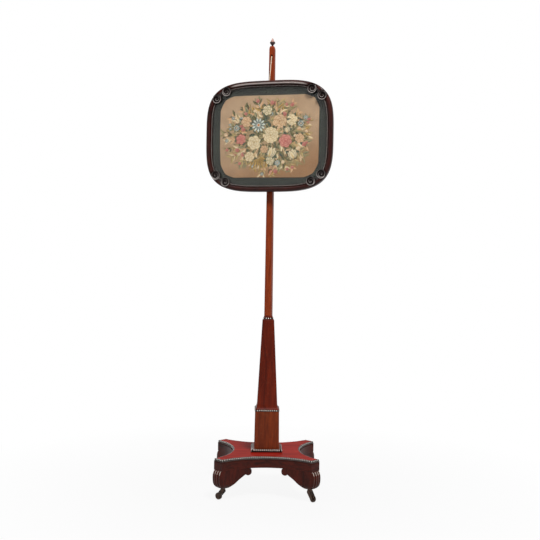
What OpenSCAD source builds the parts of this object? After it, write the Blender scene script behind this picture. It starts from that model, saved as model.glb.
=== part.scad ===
// Pole screen: a framed needlework panel that slides on a square pole. A cord runs over a
// sheave near the pole's top, down inside the pole, to a weight in the tapered column.
// The hollow-sided platform stands on four carved feet with casters.
// Millimetres, +Z up, the front faces -Y. The origin is the floor point under the column.

/* [Platform] */
// Width of the platform between opposite sides
platform_w = 335; // [310:1:370]
// Height of the platform from its underside to its top
platform_h = 36; // [30:1:48]
// Length of each corner cut along the side
corner_leg = 27; // [23:1:32]
// Depth of the hollow in each side
side_hollow = 56; // [44:1:62]
// Thickness of the top board
top_board_t = 12; // [10:1:16]
// Thickness of the frieze rails under the top board
frieze_t = 16; // [10:1:20]
// Diameter of the beading round the top edge
platform_bead_d = 5.8; // [4:0.1:7]
// Height of the fillet under that beading
platform_fillet_h = 2.2; // [1:0.1:3]

/* [Feet] */
// Height of each foot from the caster plate to the platform
foot_h = 58; // [50:1:74]
// How far the foot bulges past the corner face
foot_bulge = 10.5; // [6:0.5:14]
// Fullness of the bulge, from 2 for an ellipse upwards
foot_full = 2.6; // [2:0.1:3.2]
// Number of lobes on the face of the foot
foot_lobes = 4; // [3:1:7]
// Depth of the grooves between the lobes
lobe_depth = 2.2; // [1:0.1:3]
// Length of the foot block behind the corner face
foot_block = 53; // [48:1:60]
// Clear width between the two bracket scrolls of one side
bracket_gap = 95; // [84:1:110]
// Radius of the bracket scrolls
bracket_scroll_r = 11; // [8:0.5:13]
// Thickness of the brackets
bracket_t = 14; // [10:1:18]
// Height of the bracket's lower edge over the foot's underside where they meet
bracket_rise = 15; // [11:0.5:20]

/* [Casters] */
// Height from the floor to the underside of the foot
caster_h = 40; // [38:1:50]
// Distance from the platform's sides to the caster stem
caster_inset = 29.5; // [27:0.5:33]
// Distance from the stem to the wheel's axle
caster_trail = 16; // [14:0.5:18]
// Diameter of the wheel
wheel_d = 22.5; // [19:0.5:25]
// Width of the wheel
wheel_w = 8; // [6:0.5:10]
// Diameter of the wheel's axle
axle_d = 4; // [3:0.25:5]
// Diameter of the caster's stem
stem_d = 8; // [6:0.5:9]
// Length of the stem inside the foot
stem_len = 22; // [16:1:28]
// Diameter of the plate under the foot
plate_d = 15; // [14:0.5:17]
// Thickness of that plate
plate_t = 3; // [2:0.25:4]
// Wall of the sleeve that the stem turns in
sleeve_wall = 1.6; // [1:0.1:2]
// Thickness of the fork's cheeks
cheek_t = 2.4; // [1.5:0.1:3]
// Radius of the fork's cheeks at the head
cheek_head_r = 7; // [5:0.25:7.5]
// Radius of the fork's cheeks round the axle
cheek_foot_r = 6; // [4:0.25:8]

/* [Column] */
// Width of the plinth over its beading
plinth_w = 103; // [96:1:112]
// Height of the plinth
plinth_h = 10; // [8:0.5:14]
// Diameter of the plinth beading
plinth_bead_d = 7; // [5:0.1:7.5]
// Width of the die at its foot
die_w = 82; // [78:1:86]
// Width of the die at its top
die_top_w = 79; // [76:1:82]
// Height of the die
die_h = 122; // [100:1:150]
// Thickness of the die's walls
die_wall = 15; // [12:0.5:18]
// Diameter of the beading on the die, which is also the height of its band
die_bead_d = 6.4; // [5:0.1:7]
// Width of that band over its beading
die_band_w = 83; // [80:0.5:87]
// Height of the cove at the foot of the shaft
cove_h = 18; // [12:1:26]
// Width of the shaft above the cove
shaft_w = 66.5; // [62:0.5:70]
// Width of the shaft at its top
shaft_top_w = 38.5; // [36:0.5:42]
// Height of the tapered shaft above the cove
shaft_h = 276; // [250:1:300]
// Height of the column cap
cap_h = 14; // [11:0.5:18]
// Width of the cap's flat top
cap_top_w = 27.5; // [26:0.5:30]
// Width of the cap over its beading
cap_bead_w = 34.5; // [32:0.5:37]
// Height of the bevel under the cap beading
cap_bevel_h = 2.5; // [1.5:0.25:4]
// Diameter of the cap beading
cap_bead_d = 5.5; // [4:0.1:6]
// Length of the screws that hold the column to the platform
column_screw_len = 44; // [36:1:60]
// Diameter of those screws
column_screw_d = 5; // [4:0.25:6]

/* [Pole] */
// Angle of the pole and the screen about the column, at rest
rest_turn = -16; // [-45:1:45]
// Width of the pole at its foot
pole_w = 22.5; // [21:0.25:24]
// Width of the pole at its top
pole_top_w = 17; // [16:0.25:19]
// Length of the pole above the cap
pole_len = 897; // [860:1:940]
// Height of the rounded shoulder at the pole's top
shoulder_h = 13; // [8:1:18]
// Diameter of the round peg at the pole's foot
peg_d = 16; // [14:0.25:17]
// Length of that peg
peg_len = 50; // [40:1:60]
// Width of the cord channel in the pole's back
channel_w = 5; // [4.5:0.1:6]
// Thickness of the slip that closes the channel
slip_t = 2.4; // [1.5:0.1:3]
// Height of the finial
finial_h = 27; // [22:1:32]
// Diameter of the finial
finial_d = 19; // [15:0.5:22]
// Diameter of the finial's spigot
spigot_d = 6; // [4:0.25:7]
// Length of the finial's spigot
spigot_len = 14; // [10:1:16]

/* [Cord and weight] */
// Diameter of the cord
cord_d = 3; // [2:0.1:3.4]
// Radius of the cord's centre line on the sheave
sheave_turn_r = 6; // [5.6:0.1:6.6]
// Distance from the pole's top down to the sheave's axis
sheave_drop = 41.5; // [36:0.5:60]
// Width of the sheave
sheave_w = 5; // [4:0.1:6]
// Diameter of the sheave's pin
sheave_pin_d = 3; // [2:0.1:3.4]
// Diameter of the weight
weight_d = 29.5; // [26:0.5:30]
// Length of the weight
weight_len = 130; // [100:1:140]
// Height of the weight's foot over the platform, at rest
weight_lift = 61; // [56:1:66]
// Diameter of the well in the shaft
well_d = 32; // [31:0.25:33]

/* [Screen] */
// Width of the frame
screen_w = 431; // [400:1:460]
// Height of the frame
screen_h = 366; // [340:1:390]
// Distance from the top of the pole down to the frame's centre
screen_drop = 303.7; // [287.7:1:327.7]
// How square the frame's outline is: 2 is an ellipse
squareness = 3.7; // [3:0.1:4.5]
// Distance from the frame's centre to the joints in its top and bottom rails
rail_half = 110; // [95:1:115]
// Width of the frame's moulding
frame_w = 20.5; // [19:0.5:24]
// Depth of the frame from back to front
frame_d = 22; // [21:0.5:26]
// Radius of the roll on the frame's outer edge
roll_r = 7.25; // [5:0.25:7.25]
// Radius of the hollow beside the roll
hollow_edge_r = 1.75; // [1:0.25:1.75]
// Width of the lip that the glass lies behind
lip_w = 8; // [6.5:0.25:9]
// Diameter of the beading at the sight edge
sight_bead_d = 4.2; // [3:0.1:4.6]
// Thickness of the glass
glass_t = 2; // [1.5:0.1:3]
// Thickness of the needlework
needlework_t = 1.2; // [0.8:0.1:2]
// Thickness of the dark cloth ground
ground_t = 1; // [0.6:0.1:2]
// Thickness of the backboard
backboard_t = 6; // [4:0.5:7]
// Width of the needlework
needlework_w = 340; // [310:1:348]
// Height of the needlework
needlework_h = 274; // [250:1:282]
// Radius of the corner scrolls
volute_r = 15; // [12:0.5:16]

/* [Slide blocks] */
// Distance from the frame's centre to each block's centre
block_offset = 135; // [110:1:140]
// Height of each block
block_h = 40; // [30:1:50]
// Thickness of the block between the frame and the pole
block_web = 9; // [7.5:0.25:12]
// Thickness of the block beside the pole
block_cheek = 9; // [8:0.25:12]
// Thickness of the brass keeper plates
keeper_t = 1.5; // [1:0.1:2.5]
// Thickness of the leaf springs
spring_t = 0.6; // [0.4:0.1:0.8]
// Room for the leaf spring behind the pole
spring_room = 1.8; // [1.6:0.1:3]
// Diameter of the keeper screws
keeper_screw_d = 3; // [2.5:0.1:4]
// How far the screen slides down from rest
slide_down = 180; // [120:1:180]
// How far the screen slides up from rest
slide_up = 45; // [20:1:45]

/* [Fits] */
// Radial clearance of pins and stems that turn
run_gap = 0.05; // [0.02:0.01:0.09]
// Clearance of faces that slide or turn past each other
slide_gap = 0.3; // [0.2:0.05:0.5]

/* [Hidden] */
$fn = 96;
far = 1000;

FEET = ["fl", "fr", "rr", "rl"];

// Colours
mahogany = "#7b3420";
dark_wood = "#3c1a14";
black_wood = "#35211d";
bronze = "#4a382a";
brass = "#8a6a3a";

// Platform plan
half_w = platform_w / 2;
chord_half = half_w - corner_leg;
hollow_r = (chord_half * chord_half + side_hollow * side_hollow) / (2 * side_hollow);
hollow_c = half_w - side_hollow + hollow_r;
diagonal_c = hollow_c / sqrt(2);
corner_u = (half_w + chord_half) / sqrt(2);
foot_back_u = corner_u - foot_block;
caster_u = (half_w - caster_inset) * sqrt(2);
platform_bead_inset = platform_bead_d * 0.85;

// Heights
platform_z = caster_h + foot_h;
top_z = platform_z + platform_h;
top_board_z = top_z - top_board_t;
platform_strip_z = top_z - platform_bead_d - platform_fillet_h;
die_z = top_z + plinth_h;
band_z = die_z + die_h;
cove_z = band_z + die_bead_d;
shaft_z = cove_z + cove_h;
cap_z = shaft_z + shaft_h;
cap_top_z = cap_z + cap_h;
pole_z = cap_top_z + slide_gap;
pole_top_z = pole_z + pole_len;
shoulder_z = pole_top_z - shoulder_h;
peg_z = pole_z - peg_len;
well_top_z = peg_z - 4;
sheave_z = pole_top_z - sheave_drop;
screen_z = pole_top_z - screen_drop;

// Column details
bead_core = 0.35;
plinth_core_w = plinth_w - 2 * plinth_bead_d * (1 - bead_core);
band_core_w = die_band_w - 2 * die_bead_d * (1 - bead_core);
cap_core_w = cap_bead_w - 2 * cap_bead_d * (1 - bead_core);
cap_lip_w = cap_bead_w - 3.5;
cap_bead_z = cap_z + cap_bevel_h;
die_hollow_w = die_top_w - 2 * die_wall;
tenon_len = 15;
screw_at = (die_hollow_w + die_wall) / 2;
screw_head_d = 2 * column_screw_d;
screw_head_h = column_screw_d / 2;

// Feet
foot_mid_z = caster_h + 36;
foot_half_h = foot_mid_z - caster_h + 1;
foot_reach = corner_u + foot_bulge - caster_u;
lobe_steps = 5;
side_steps = 4;
back_steps = 6;
back_relief = 0.4;
sleeve_d = stem_d + 2 * sleeve_wall;
socket_r = (sleeve_d / 2 + slide_gap) / cos(15);

// Casters: stem places and the directions that the wheels trail in, as in the photo at the front
stem_angles = [225, 315, 45, 135];
trail_angles = [148, -54, 20, 100];
fork_top_z = caster_h - plate_t - slide_gap;
fork_head_h = 4;
fork_head_d = plate_d;
cheek_gap = 0.6;
wheel_z = wheel_d / 2;
wheel_crown_r = 15;

// Pole
function pole_half(z) =
    pole_w / 2 + (pole_top_w - pole_w) / 2 * (z - pole_z) / (shoulder_z - pole_z);
shoulder_top_half = finial_d * 0.24;
channel_depth = channel_w / 2;
peg_bore_d = channel_w + 2;
cord_r = cord_d / 2;
sheave_y = sheave_turn_r - pole_half(sheave_z) - cord_r - slide_gap;
groove_gap = 0.3;
flange_r = sheave_turn_r + 0.6;
sheave_side_gap = 0.6;
mouth_w = sheave_w + 2 * sheave_side_gap;
mouth_low = max(flange_r, sheave_turn_r + cord_r) + 0.6;
mouth_high = mouth_low + 5;

// Screen, built facing -Y and then turned with the pole
half_a = screen_w / 2;
half_b = screen_h / 2;
slot_half_lower = pole_half(screen_z - block_offset - block_h / 2 - slide_down) + slide_gap;
slot_half_upper = pole_half(screen_z + block_offset - block_h / 2 - slide_down) + slide_gap;
frame_back_y = -(slot_half_lower + block_web);
rebate_u = frame_w - lip_w;
ground_w = backboard_t;
needlework_depth = ground_w + ground_t;
air_gap = 0.8;
glass_depth = needlework_depth + needlework_t + air_gap;
rebate_d = glass_depth + glass_t;
seat_w = frame_d - roll_r - hollow_edge_r;
panel_gap = 0.5;
rail_angle = atan2(half_b * pow(1 - pow(rail_half / half_a, squareness), 1 / squareness), rail_half);
volute_angles = [35.4, 47.6];
volute_insets = [volute_r + 1.2, volute_r + 3.6];
volute_h = frame_d - seat_w;
eye_x = -5;
eye_ring_r = 3.2;
eye_wire_d = 1.8;
eye_depth = 12;
eye_y = frame_back_y + eye_ring_r + eye_wire_d / 2 + 0.2;
eye_z = screen_z + half_b - 8;
eye_top_z = eye_z + eye_ring_r + eye_wire_d / 2 + 0.2;
block_w = 2 * (slot_half_lower + block_cheek);
keeper_y = slot_half_lower + spring_room;
keeper_screw_x = slot_half_lower + block_cheek / 2;
keeper_screw_z = block_h / 2 - 7;
keeper_screw_deep = 4.5;

// Weight
weight_z = top_z + weight_lift;
weight_eye_r = 5;
weight_eye_wire = 2.4;
weight_eye_z = weight_z + weight_len + weight_eye_r - 0.4;
weight_hook_z = weight_eye_z + weight_eye_r + weight_eye_wire / 2 + 0.2;

// Shapes used more than once

// Points of an arc, both ends included
function arc(centre, r, from, to, steps) =
    [for (i = [0:steps]) centre + r * [cos(from + (to - from) * i / steps), sin(from + (to - from) * i / steps)]];

function reversed(list) = [for (i = [len(list) - 1:-1:0]) list[i]];

// Four-sided moulding: profile is a list of [half width, height] from its foot to its top
module mitred(profile) {
    reach = max([for (p = profile) p[0]]);
    other = [for (p = reversed(profile)) [-p[0], p[1]]];
    intersection() {
        rotate([90, 0, 0]) linear_extrude(2 * reach, center = true) polygon(concat(profile, other));
        rotate([90, 0, 90]) linear_extrude(2 * reach, center = true) polygon(concat(profile, other));
    }
}

// Square bar standing on z, and a square ring
module square_bar(w, z, h) translate([-w / 2, -w / 2, z]) cube([w, w, h]);

// Round beading with mitred corners on a square core, with its backing strip
module square_beading(outer_w, core_w, bead_d, z) {
    steps = 8;
    mid = (outer_w - bead_d) / 2;
    round_side = arc([mid, z + bead_d / 2], bead_d / 2, -90, 90, steps);
    difference() {
        mitred(round_side);
        square_bar(core_w, z - 1, bead_d + 2);
    }
}

// Plan of the platform, set in from its edge
function octagon(inset) =
    let (h = half_w - inset, c = half_w + chord_half - inset * sqrt(2) - h)
    [[h, -c], [h, c], [c, h], [-c, h], [-h, c], [-h, -c], [-c, -h], [c, -h]];

module platform_plan(inset) {
    difference() {
        polygon(octagon(inset));
        for (a = [0:90:270]) rotate(a) translate([hollow_c, 0]) circle(r = hollow_r + inset, $fn = 180);
    }
}

// Local frame of one corner: X runs out along the diagonal
module corner(k) rotate(stem_angles[k]) children();

module at_stem(k) corner(k) translate([caster_u, 0, 0]) rotate(trail_angles[k] - stem_angles[k]) children();

// Everything that turns with the pole
module turned() rotate(rest_turn) children();

// Flat bar with round ends of different radii
module link(p, p_r, q, q_r) {
    d = norm(q - p);
    a = atan2(q[1] - p[1], q[0] - p[0]);
    b = acos((p_r - q_r) / d);
    polygon([
        p + p_r * [cos(a + b), sin(a + b)], q + q_r * [cos(a + b), sin(a + b)],
        q + q_r * [cos(a - b), sin(a - b)], p + p_r * [cos(a - b), sin(a - b)],
    ]);
    translate(p) circle(r = p_r);
    translate(q) circle(r = q_r);
}

// Solid through rings of points that all have the same count, with room for a blind hole in its first end
module lofted(rings, hole = []) {
    n = len(rings[0]);
    last = len(rings) - 1;
    h = len(rings) * n;
    sides = [for (i = [0:last - 1], j = [0:n - 1], half = [0, 1])
        let (a = i * n + j, b = i * n + (j + 1) % n, c = a + n, d = b + n)
        half == 0 ? [a, d, b] : [a, c, d]];
    plain_end = [[for (j = [0:n - 1]) j]];
    holed_end = [for (j = [0:n - 1], part = [0:3])
        let (k = (j + 1) % n)
        [[j, k, h + k], [j, h + k, h + j], [h + j, h + k, h + n + k], [h + j, h + n + k, h + n + j]][part]];
    hole_floor = [[for (j = [0:n - 1]) h + n + j]];
    far_end = [[for (j = [n - 1:-1:0]) last * n + j]];
    polyhedron(
        points = [for (ring = concat(rings, hole)) each ring],
        faces = concat(sides, far_end, len(hole) == 0 ? plain_end : concat(holed_end, hole_floor)));
}

// Closed loop through rings of points, such as a swept ring
module looped(rings) {
    n = len(rings[0]);
    m = len(rings);
    polyhedron(
        points = [for (ring = rings) each ring],
        faces = [for (i = [0:m - 1], j = [0:n - 1], half = [0, 1])
            let (k = (i + 1) % m, a = i * n + j, b = i * n + (j + 1) % n, c = k * n + j, d = k * n + (j + 1) % n)
            half == 0 ? [a, d, b] : [a, c, d]]);
}

// Ring of the cord around a point, in the plane of two directions
function cord_ring(p, u, v) = [for (i = [0:7]) p + cord_r * (cos(45 * i + 22.5) * u + sin(45 * i + 22.5) * v)];

// Outline of the frame: a point at an angle, set in from the edge along its normal
function rim_edge(a, w, h, n) =
    let (r = 1 / pow(pow(abs(cos(a)) / w, n) + pow(abs(sin(a)) / h, n), 1 / n)) r * [cos(a), sin(a)];
function rim_normal(p, w, h, n) =
    let (g = [sign(p[0]) * pow(abs(p[0]) / w, n - 1) / w, sign(p[1]) * pow(abs(p[1]) / h, n - 1) / h]) g / norm(g);
function rim(a, inset) =
    let (p = rim_edge(a, half_a, half_b, squareness)) p - inset * rim_normal(p, half_a, half_b, squareness);

function volute_places() = [for (i = [0, 1]) rim(volute_angles[i], volute_insets[i])];

// Flat panel inside the frame: depth is measured forward from the frame's back
module panel(inset, depth, t) {
    outline = [for (a = [0:3:357]) rim(a, inset)];
    turned() translate([0, frame_back_y - depth, screen_z]) rotate([90, 0, 0]) linear_extrude(t) polygon(outline);
}

// Section of the frame's moulding: distance in from the edge, depth forward from the back
frame_section = concat(
    [[0, 0]],
    arc([roll_r, frame_d - roll_r], roll_r, 180, 0, 8),
    arc([2 * roll_r + hollow_edge_r, frame_d - roll_r], hollow_edge_r, 180, 270, 3),
    [[frame_w, seat_w], [frame_w, rebate_d], [rebate_u, rebate_d], [rebate_u, 0]]);

sight_section = concat(
    [[frame_w - sight_bead_d, seat_w]],
    arc([frame_w - sight_bead_d / 2, seat_w + sight_bead_d / 3], sight_bead_d / 2, 180, 0, 6),
    [[frame_w, seat_w]]);

function section_ring(a, section) =
    [for (s = reversed(section)) let (p = rim(a, s[0])) [p[0], frame_back_y - s[1], screen_z + p[1]]];

// Round seats for the corner scrolls, at one corner
module volute_seats(sx, sz, r) {
    for (p = volute_places())
        translate([sx * p[0], frame_back_y - seat_w, screen_z + sz * p[1]]) rotate([90, 0, 0]) cylinder(r = r, h = far / 10);
}

// One piece of the frame, between two angles
module frame_piece(from, to, steps) {
    turned() difference() {
        lofted([for (i = [0:steps]) section_ring(from + (to - from) * i / steps, frame_section)]);
        for (sx = [-1, 1], sz = [-1, 1]) volute_seats(sx, sz, volute_r + slide_gap);
        eye_shank(eye_wire_d);
    }
}

module eye_shank(d) translate([eye_x, eye_y - eye_ring_r, eye_z]) rotate([90, 0, 0]) cylinder(d = d, h = eye_depth);

// Platform

module platform_top() {
    color(mahogany) difference() {
        union() {
            translate([0, 0, top_board_z]) linear_extrude(platform_strip_z - top_board_z) platform_plan(0);
            translate([0, 0, platform_strip_z]) linear_extrude(top_z - platform_strip_z) platform_plan(platform_bead_inset);
        }
        column_screw_set(0);
    }
}

module side_strip(t, z, h) {
    translate([0, -hollow_c, z]) difference() {
        cylinder(r = hollow_r + t, h = h, $fn = 180);
        translate([0, 0, -1]) cylinder(r = hollow_r, h = h + 2, $fn = 180);
    }
}

module frieze_rails() {
    color(dark_wood) for (a = [0:90:270]) rotate(a) intersection() {
        side_strip(frieze_t, platform_z, top_board_z - platform_z);
        rotate(-45) translate([0, -foot_back_u, 0]) cube([foot_back_u, 2 * foot_back_u, far]);
        rotate(-135) translate([0, -foot_back_u, 0]) cube([foot_back_u, 2 * foot_back_u, far]);
    }
}

module corner_blocks() {
    color(dark_wood) for (k = [0:3]) intersection() {
        translate([0, 0, platform_z]) linear_extrude(top_board_z - platform_z) platform_plan(0);
        corner(k) translate([foot_back_u, -half_w, 0]) cube([half_w, platform_w, far]);
    }
}

// Fillet and stepped bead, clear of the top board's rim
module platform_beading() {
    step = platform_bead_d / 5;
    bead_z = platform_strip_z + platform_fillet_h;
    layers = [
        [platform_strip_z, platform_fillet_h, step * 0.7], [bead_z, step, step],
        [bead_z + step, 3 * step, 0], [bead_z + 4 * step, step, step],
    ];
    color(dark_wood) difference() {
        for (l = layers) translate([0, 0, l[0]]) linear_extrude(l[1]) platform_plan(l[2]);
        translate([0, 0, platform_strip_z - 1]) linear_extrude(platform_h) platform_plan(platform_bead_inset);
    }
}

// Feet

// Half width of a corner prong between its two hollow sides
function prong_half(u) = diagonal_c - sqrt(hollow_r * hollow_r - (u - diagonal_c) * (u - diagonal_c));
function foot_swell(z) = pow(1 - pow(abs(z - foot_mid_z) / foot_half_h, foot_full), 1 / foot_full);
function foot_front(z) = caster_u + foot_reach * foot_swell(z);
function foot_narrow(z) = min(1, 0.35 + 0.75 * foot_swell(z));

// Back edge of the foot, which slopes forward under the brackets
function foot_back(z) =
    foot_back_u + (caster_u - plate_d / 2 - 1 - foot_back_u) * max(0, 1 - (z - caster_h) / bracket_rise);

// Plan of the foot at one height: back edge, side, lobed front and the other side
function foot_ring(z) =
    let (
        back_u = foot_back(z),
        front = foot_front(z),
        side_end = min(corner_u, front) - lobe_depth,
        narrow = foot_narrow(z),
        half = prong_half(side_end) * narrow,
        count = foot_lobes * lobe_steps,
        side = [for (i = [0:side_steps])
            let (u = back_u + (side_end - back_u) * i / side_steps) [u, -prong_half(u) * narrow, z]],
        face = [for (i = [1:count - 1])
            let (share = i / count, wave = abs(sin(180 * foot_lobes * share)))
            [front - lobe_depth * (1 - wave) - lobe_depth * pow(2 * share - 1, 2), half * (2 * share - 1), z]])
    concat(
        side, face, [for (p = reversed(side)) [p[0], -p[1], z]],
        [for (i = [1:back_steps - 1])
            let (t = 1 - 2 * i / back_steps) [back_u + back_relief * (1 - t * t), -side[0][1] * t, z]]);

// Ring round the caster socket, with one point for each point of the foot's own ring
function socket_ring(ring, z) =
    [for (p = ring) let (a = atan2(p[1], p[0] - caster_u)) [caster_u + socket_r * cos(a), socket_r * sin(a), z]];

module foot(k) {
    low = [for (i = [0:3]) caster_h + bracket_rise * i / 4];
    high = [for (i = [0:8]) caster_h + bracket_rise + (foot_h - bracket_rise) * i / 8];
    rings = [for (z = concat(low, high)) foot_ring(z)];
    socket = [for (z = [caster_h, caster_h + stem_len + 3]) socket_ring(rings[0], z)];
    color(dark_wood) corner(k) lofted(rings, socket);
}

// Elevation of a bracket: x runs out from the middle of the side
scroll_mid = [bracket_gap / 2 + bracket_scroll_r, platform_z - bracket_scroll_r - 0.6];
scroll_cusp = scroll_mid + bracket_scroll_r * [cos(-43), sin(-43)];
bracket_end = [(foot_back_u - prong_half(foot_back_u)) / sqrt(2), caster_h + bracket_rise];
function ogee(t) =
    pow(1 - t, 3) * scroll_cusp
    + 3 * pow(1 - t, 2) * t * (scroll_cusp + [12, -9])
    + 3 * (1 - t) * t * t * (bracket_end + [-10, 10])
    + pow(t, 3) * bracket_end;

module front_bracket() {
    intersection() {
        side_strip(bracket_t, 0, top_z);
        rotate([90, 0, 0]) linear_extrude(platform_w) polygon(concat(
            [[scroll_mid[0], platform_z], scroll_mid],
            [for (i = [0:8]) ogee(i / 8)],
            [[half_w, bracket_end[1]], [half_w, platform_z]]));
        rotate(-45) translate([0, -half_w, 0]) cube([foot_back_u, platform_w, far]);
    }
    intersection() {
        side_strip(bracket_t, 0, top_z);
        translate([scroll_mid[0], 0, scroll_mid[1]]) rotate([90, 0, 0]) cylinder(r = bracket_scroll_r, h = platform_w);
    }
}

module brackets(k) {
    color(dark_wood) corner(k) for (side = [0, 1]) mirror([0, side, 0]) rotate(45) front_bracket();
}

// Plate under the foot with the sleeve that the stem turns in
module caster_sockets() {
    color(bronze) for (k = [0:3]) at_stem(k) difference() {
        union() {
            translate([0, 0, caster_h - plate_t]) cylinder(d = plate_d, h = plate_t);
            translate([0, 0, caster_h - 1]) cylinder(d = sleeve_d, h = stem_len + 2);
        }
        cylinder(d = stem_d + 2 * run_gap, h = far);
    }
}

// Column

module column_screw_set(gap) {
    for (sx = [-1, 1], sy = [-1, 1]) translate([sx * screw_at, sy * screw_at, top_board_z]) {
        cylinder(d = column_screw_d + 2 * gap, h = column_screw_len);
        cylinder(d1 = screw_head_d, d2 = column_screw_d, h = screw_head_h);
    }
}

module column_screws() color("#6b6660") column_screw_set(0);

module column_plinth() {
    color(mahogany) difference() {
        square_bar(plinth_core_w, top_z, plinth_h);
        translate([0, 0, top_z - 1]) cylinder(d = well_d, h = plinth_h + 2);
        column_screw_set(0);
    }
}

module plinth_beading() {
    color(dark_wood) union() {
        square_beading(plinth_w, plinth_core_w, plinth_bead_d, die_z - plinth_bead_d);
        difference() {
            square_bar(plinth_w, top_z, plinth_h - plinth_bead_d * 0.8);
            square_bar(plinth_core_w, top_z - 1, plinth_h);
        }
    }
}

module column_die() {
    color(mahogany) difference() {
        mitred([[die_w / 2, die_z], [die_top_w / 2, band_z]]);
        square_bar(die_hollow_w, die_z - 1, die_h + 2);
        column_screw_set(0);
    }
}

module die_beading() color(dark_wood) square_beading(die_band_w, band_core_w, die_bead_d, band_z);

module column_shaft() {
    cove_half = (die_band_w - 2) / 2;
    cove_in = cove_half - shaft_w / 2;
    cove = [for (i = [0:8]) [cove_half - cove_in * sin(90 * i / 8), cove_z + cove_h * (1 - cos(90 * i / 8))]];
    color(mahogany) difference() {
        union() {
            mitred(concat([[band_core_w / 2, band_z], [band_core_w / 2, cove_z]], cove, [[shaft_top_w / 2, cap_z]]));
            square_bar(die_hollow_w, band_z - tenon_len, tenon_len + 1);
        }
        translate([0, 0, band_z - tenon_len - 1]) cylinder(d = well_d, h = well_top_z - band_z + tenon_len + 1);
        cylinder(d = peg_d + 2 * run_gap, h = far);
    }
}

module column_cap() {
    bead_top = cap_bead_z + cap_bead_d;
    color(mahogany) difference() {
        mitred([
            [shaft_top_w / 2, cap_z], [cap_bead_w / 2, cap_bead_z], [cap_core_w / 2, cap_bead_z],
            [cap_core_w / 2, bead_top], [cap_lip_w / 2, bead_top], [cap_top_w / 2, cap_top_z],
        ]);
        cylinder(d = peg_d + 2 * run_gap, h = far);
    }
}

module cap_beading() color(dark_wood) square_beading(cap_bead_w, cap_core_w, cap_bead_d, cap_bead_z);

// Pole

module pole_body() {
    curve = [for (i = [1:6]) [
        shoulder_top_half + (pole_top_w / 2 - shoulder_top_half) * cos(15 * i),
        shoulder_z + shoulder_h * sin(15 * i)]];
    mitred(concat([[pole_w / 2, pole_z], [pole_top_w / 2, shoulder_z]], curve));
}

// Slot that the sheave turns in, open at the pole's front
module sheave_mouth() {
    r = mouth_w / 2;
    translate([0, sheave_y, sheave_z]) {
        rotate([0, 90, 0]) cylinder(r = mouth_low, h = mouth_w, center = true);
        rotate([90, 0, 0]) linear_extrude(pole_w) {
            translate([0, r - mouth_low]) circle(r = r);
            translate([0, mouth_high - r]) circle(r = r);
            translate([-r, r - mouth_low]) square([mouth_w, mouth_high + mouth_low - mouth_w]);
        }
    }
}

module pole() {
    color(mahogany) turned() difference() {
        union() {
            pole_body();
            translate([0, 0, peg_z]) cylinder(d = peg_d, h = peg_len + 1);
        }
        translate([-channel_w / 2, -channel_depth, pole_z + 12]) cube([channel_w, pole_w, sheave_z - pole_z - 12]);
        translate([0, 0, peg_z - 1]) cylinder(d = peg_bore_d, h = peg_len + 20);
        sheave_mouth();
        translate([0, sheave_y, sheave_z]) rotate([0, 90, 0]) cylinder(d = sheave_pin_d, h = pole_w, center = true);
        translate([0, 0, pole_top_z - spigot_len - 0.5]) cylinder(d = spigot_d, h = spigot_len + 1);
    }
}

module pole_slip() {
    inner = [for (z = [pole_z + 12, sheave_z]) [pole_half(z) - slip_t, z]];
    color(mahogany) turned() intersection() {
        pole_body();
        rotate([90, 0, 90]) linear_extrude(channel_w, center = true) polygon([
            inner[0], [pole_w, inner[0][1]], [pole_w, inner[1][1]], inner[1],
        ]);
    }
}

module finial() {
    r = finial_d / 2;
    neck = shoulder_top_half;
    color(black_wood) turned() translate([0, 0, pole_top_z]) {
        rotate_extrude() polygon([
            [0, 0], [neck, 0], [neck * 0.6, finial_h * 0.05], [neck * 0.75, finial_h * 0.1], [r * 0.92, finial_h * 0.37],
            [r, finial_h * 0.42], [r * 0.94, finial_h * 0.47], [r * 0.55, finial_h * 0.69], [r * 0.3, finial_h * 0.87],
            [r * 0.16, finial_h * 0.96], [0, finial_h],
        ]);
        translate([0, 0, -spigot_len]) cylinder(d = spigot_d, h = spigot_len + 1);
    }
}

module sheave_pin() {
    color(bronze) turned() translate([0, sheave_y, sheave_z]) rotate([0, 90, 0])
        cylinder(d = sheave_pin_d, h = 2 * pole_half(sheave_z) - 0.4, center = true);
}

module sheave() {
    color(brass) turned() translate([0, sheave_y, sheave_z]) rotate([0, 90, 0]) rotate_extrude() difference() {
        translate([sheave_pin_d / 2 + run_gap, -sheave_w / 2]) square([flange_r - sheave_pin_d / 2 - run_gap, sheave_w]);
        translate([sheave_turn_r, 0]) circle(r = cord_r + groove_gap);
    }
}

// Cord: where each stretch starts and ends, in the pole's own frame
front_top = [0, sheave_y - sheave_turn_r, sheave_z];
front_end = [eye_x, eye_y, eye_top_z];
inside_top = [0, sheave_y + sheave_turn_r, sheave_z];
inside_end = [0, 0, weight_hook_z];
across = [1, 0, 0];
back = [0, 1, 0];

module cord_front() color("#d8b598") turned() lofted([cord_ring(front_end, across, back), cord_ring(front_top, across, back)]);

module cord_inside() color("#d8b598") turned() lofted([cord_ring(inside_end, across, back), cord_ring(inside_top, across, back)]);

module cord_over() {
    color("#d8b598") turned() lofted([for (a = [0:15:180])
        let (out = [0, cos(a), sin(a)]) cord_ring([0, sheave_y, sheave_z] + sheave_turn_r * out, across, out)]);
}

module counterweight() {
    color("#5a5a5c") turned() {
        translate([0, 0, weight_z]) cylinder(d = weight_d, h = weight_len);
        translate([0, 0, weight_eye_z]) rotate([90, 0, 0]) rotate_extrude() translate([weight_eye_r, 0]) circle(d = weight_eye_wire);
    }
}

// Screen

module frame_top_rail() color(black_wood) frame_piece(rail_angle, 180 - rail_angle, 12);

module frame_left_stile() color(black_wood) frame_piece(180 - rail_angle, 180 + rail_angle, 36);

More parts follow.
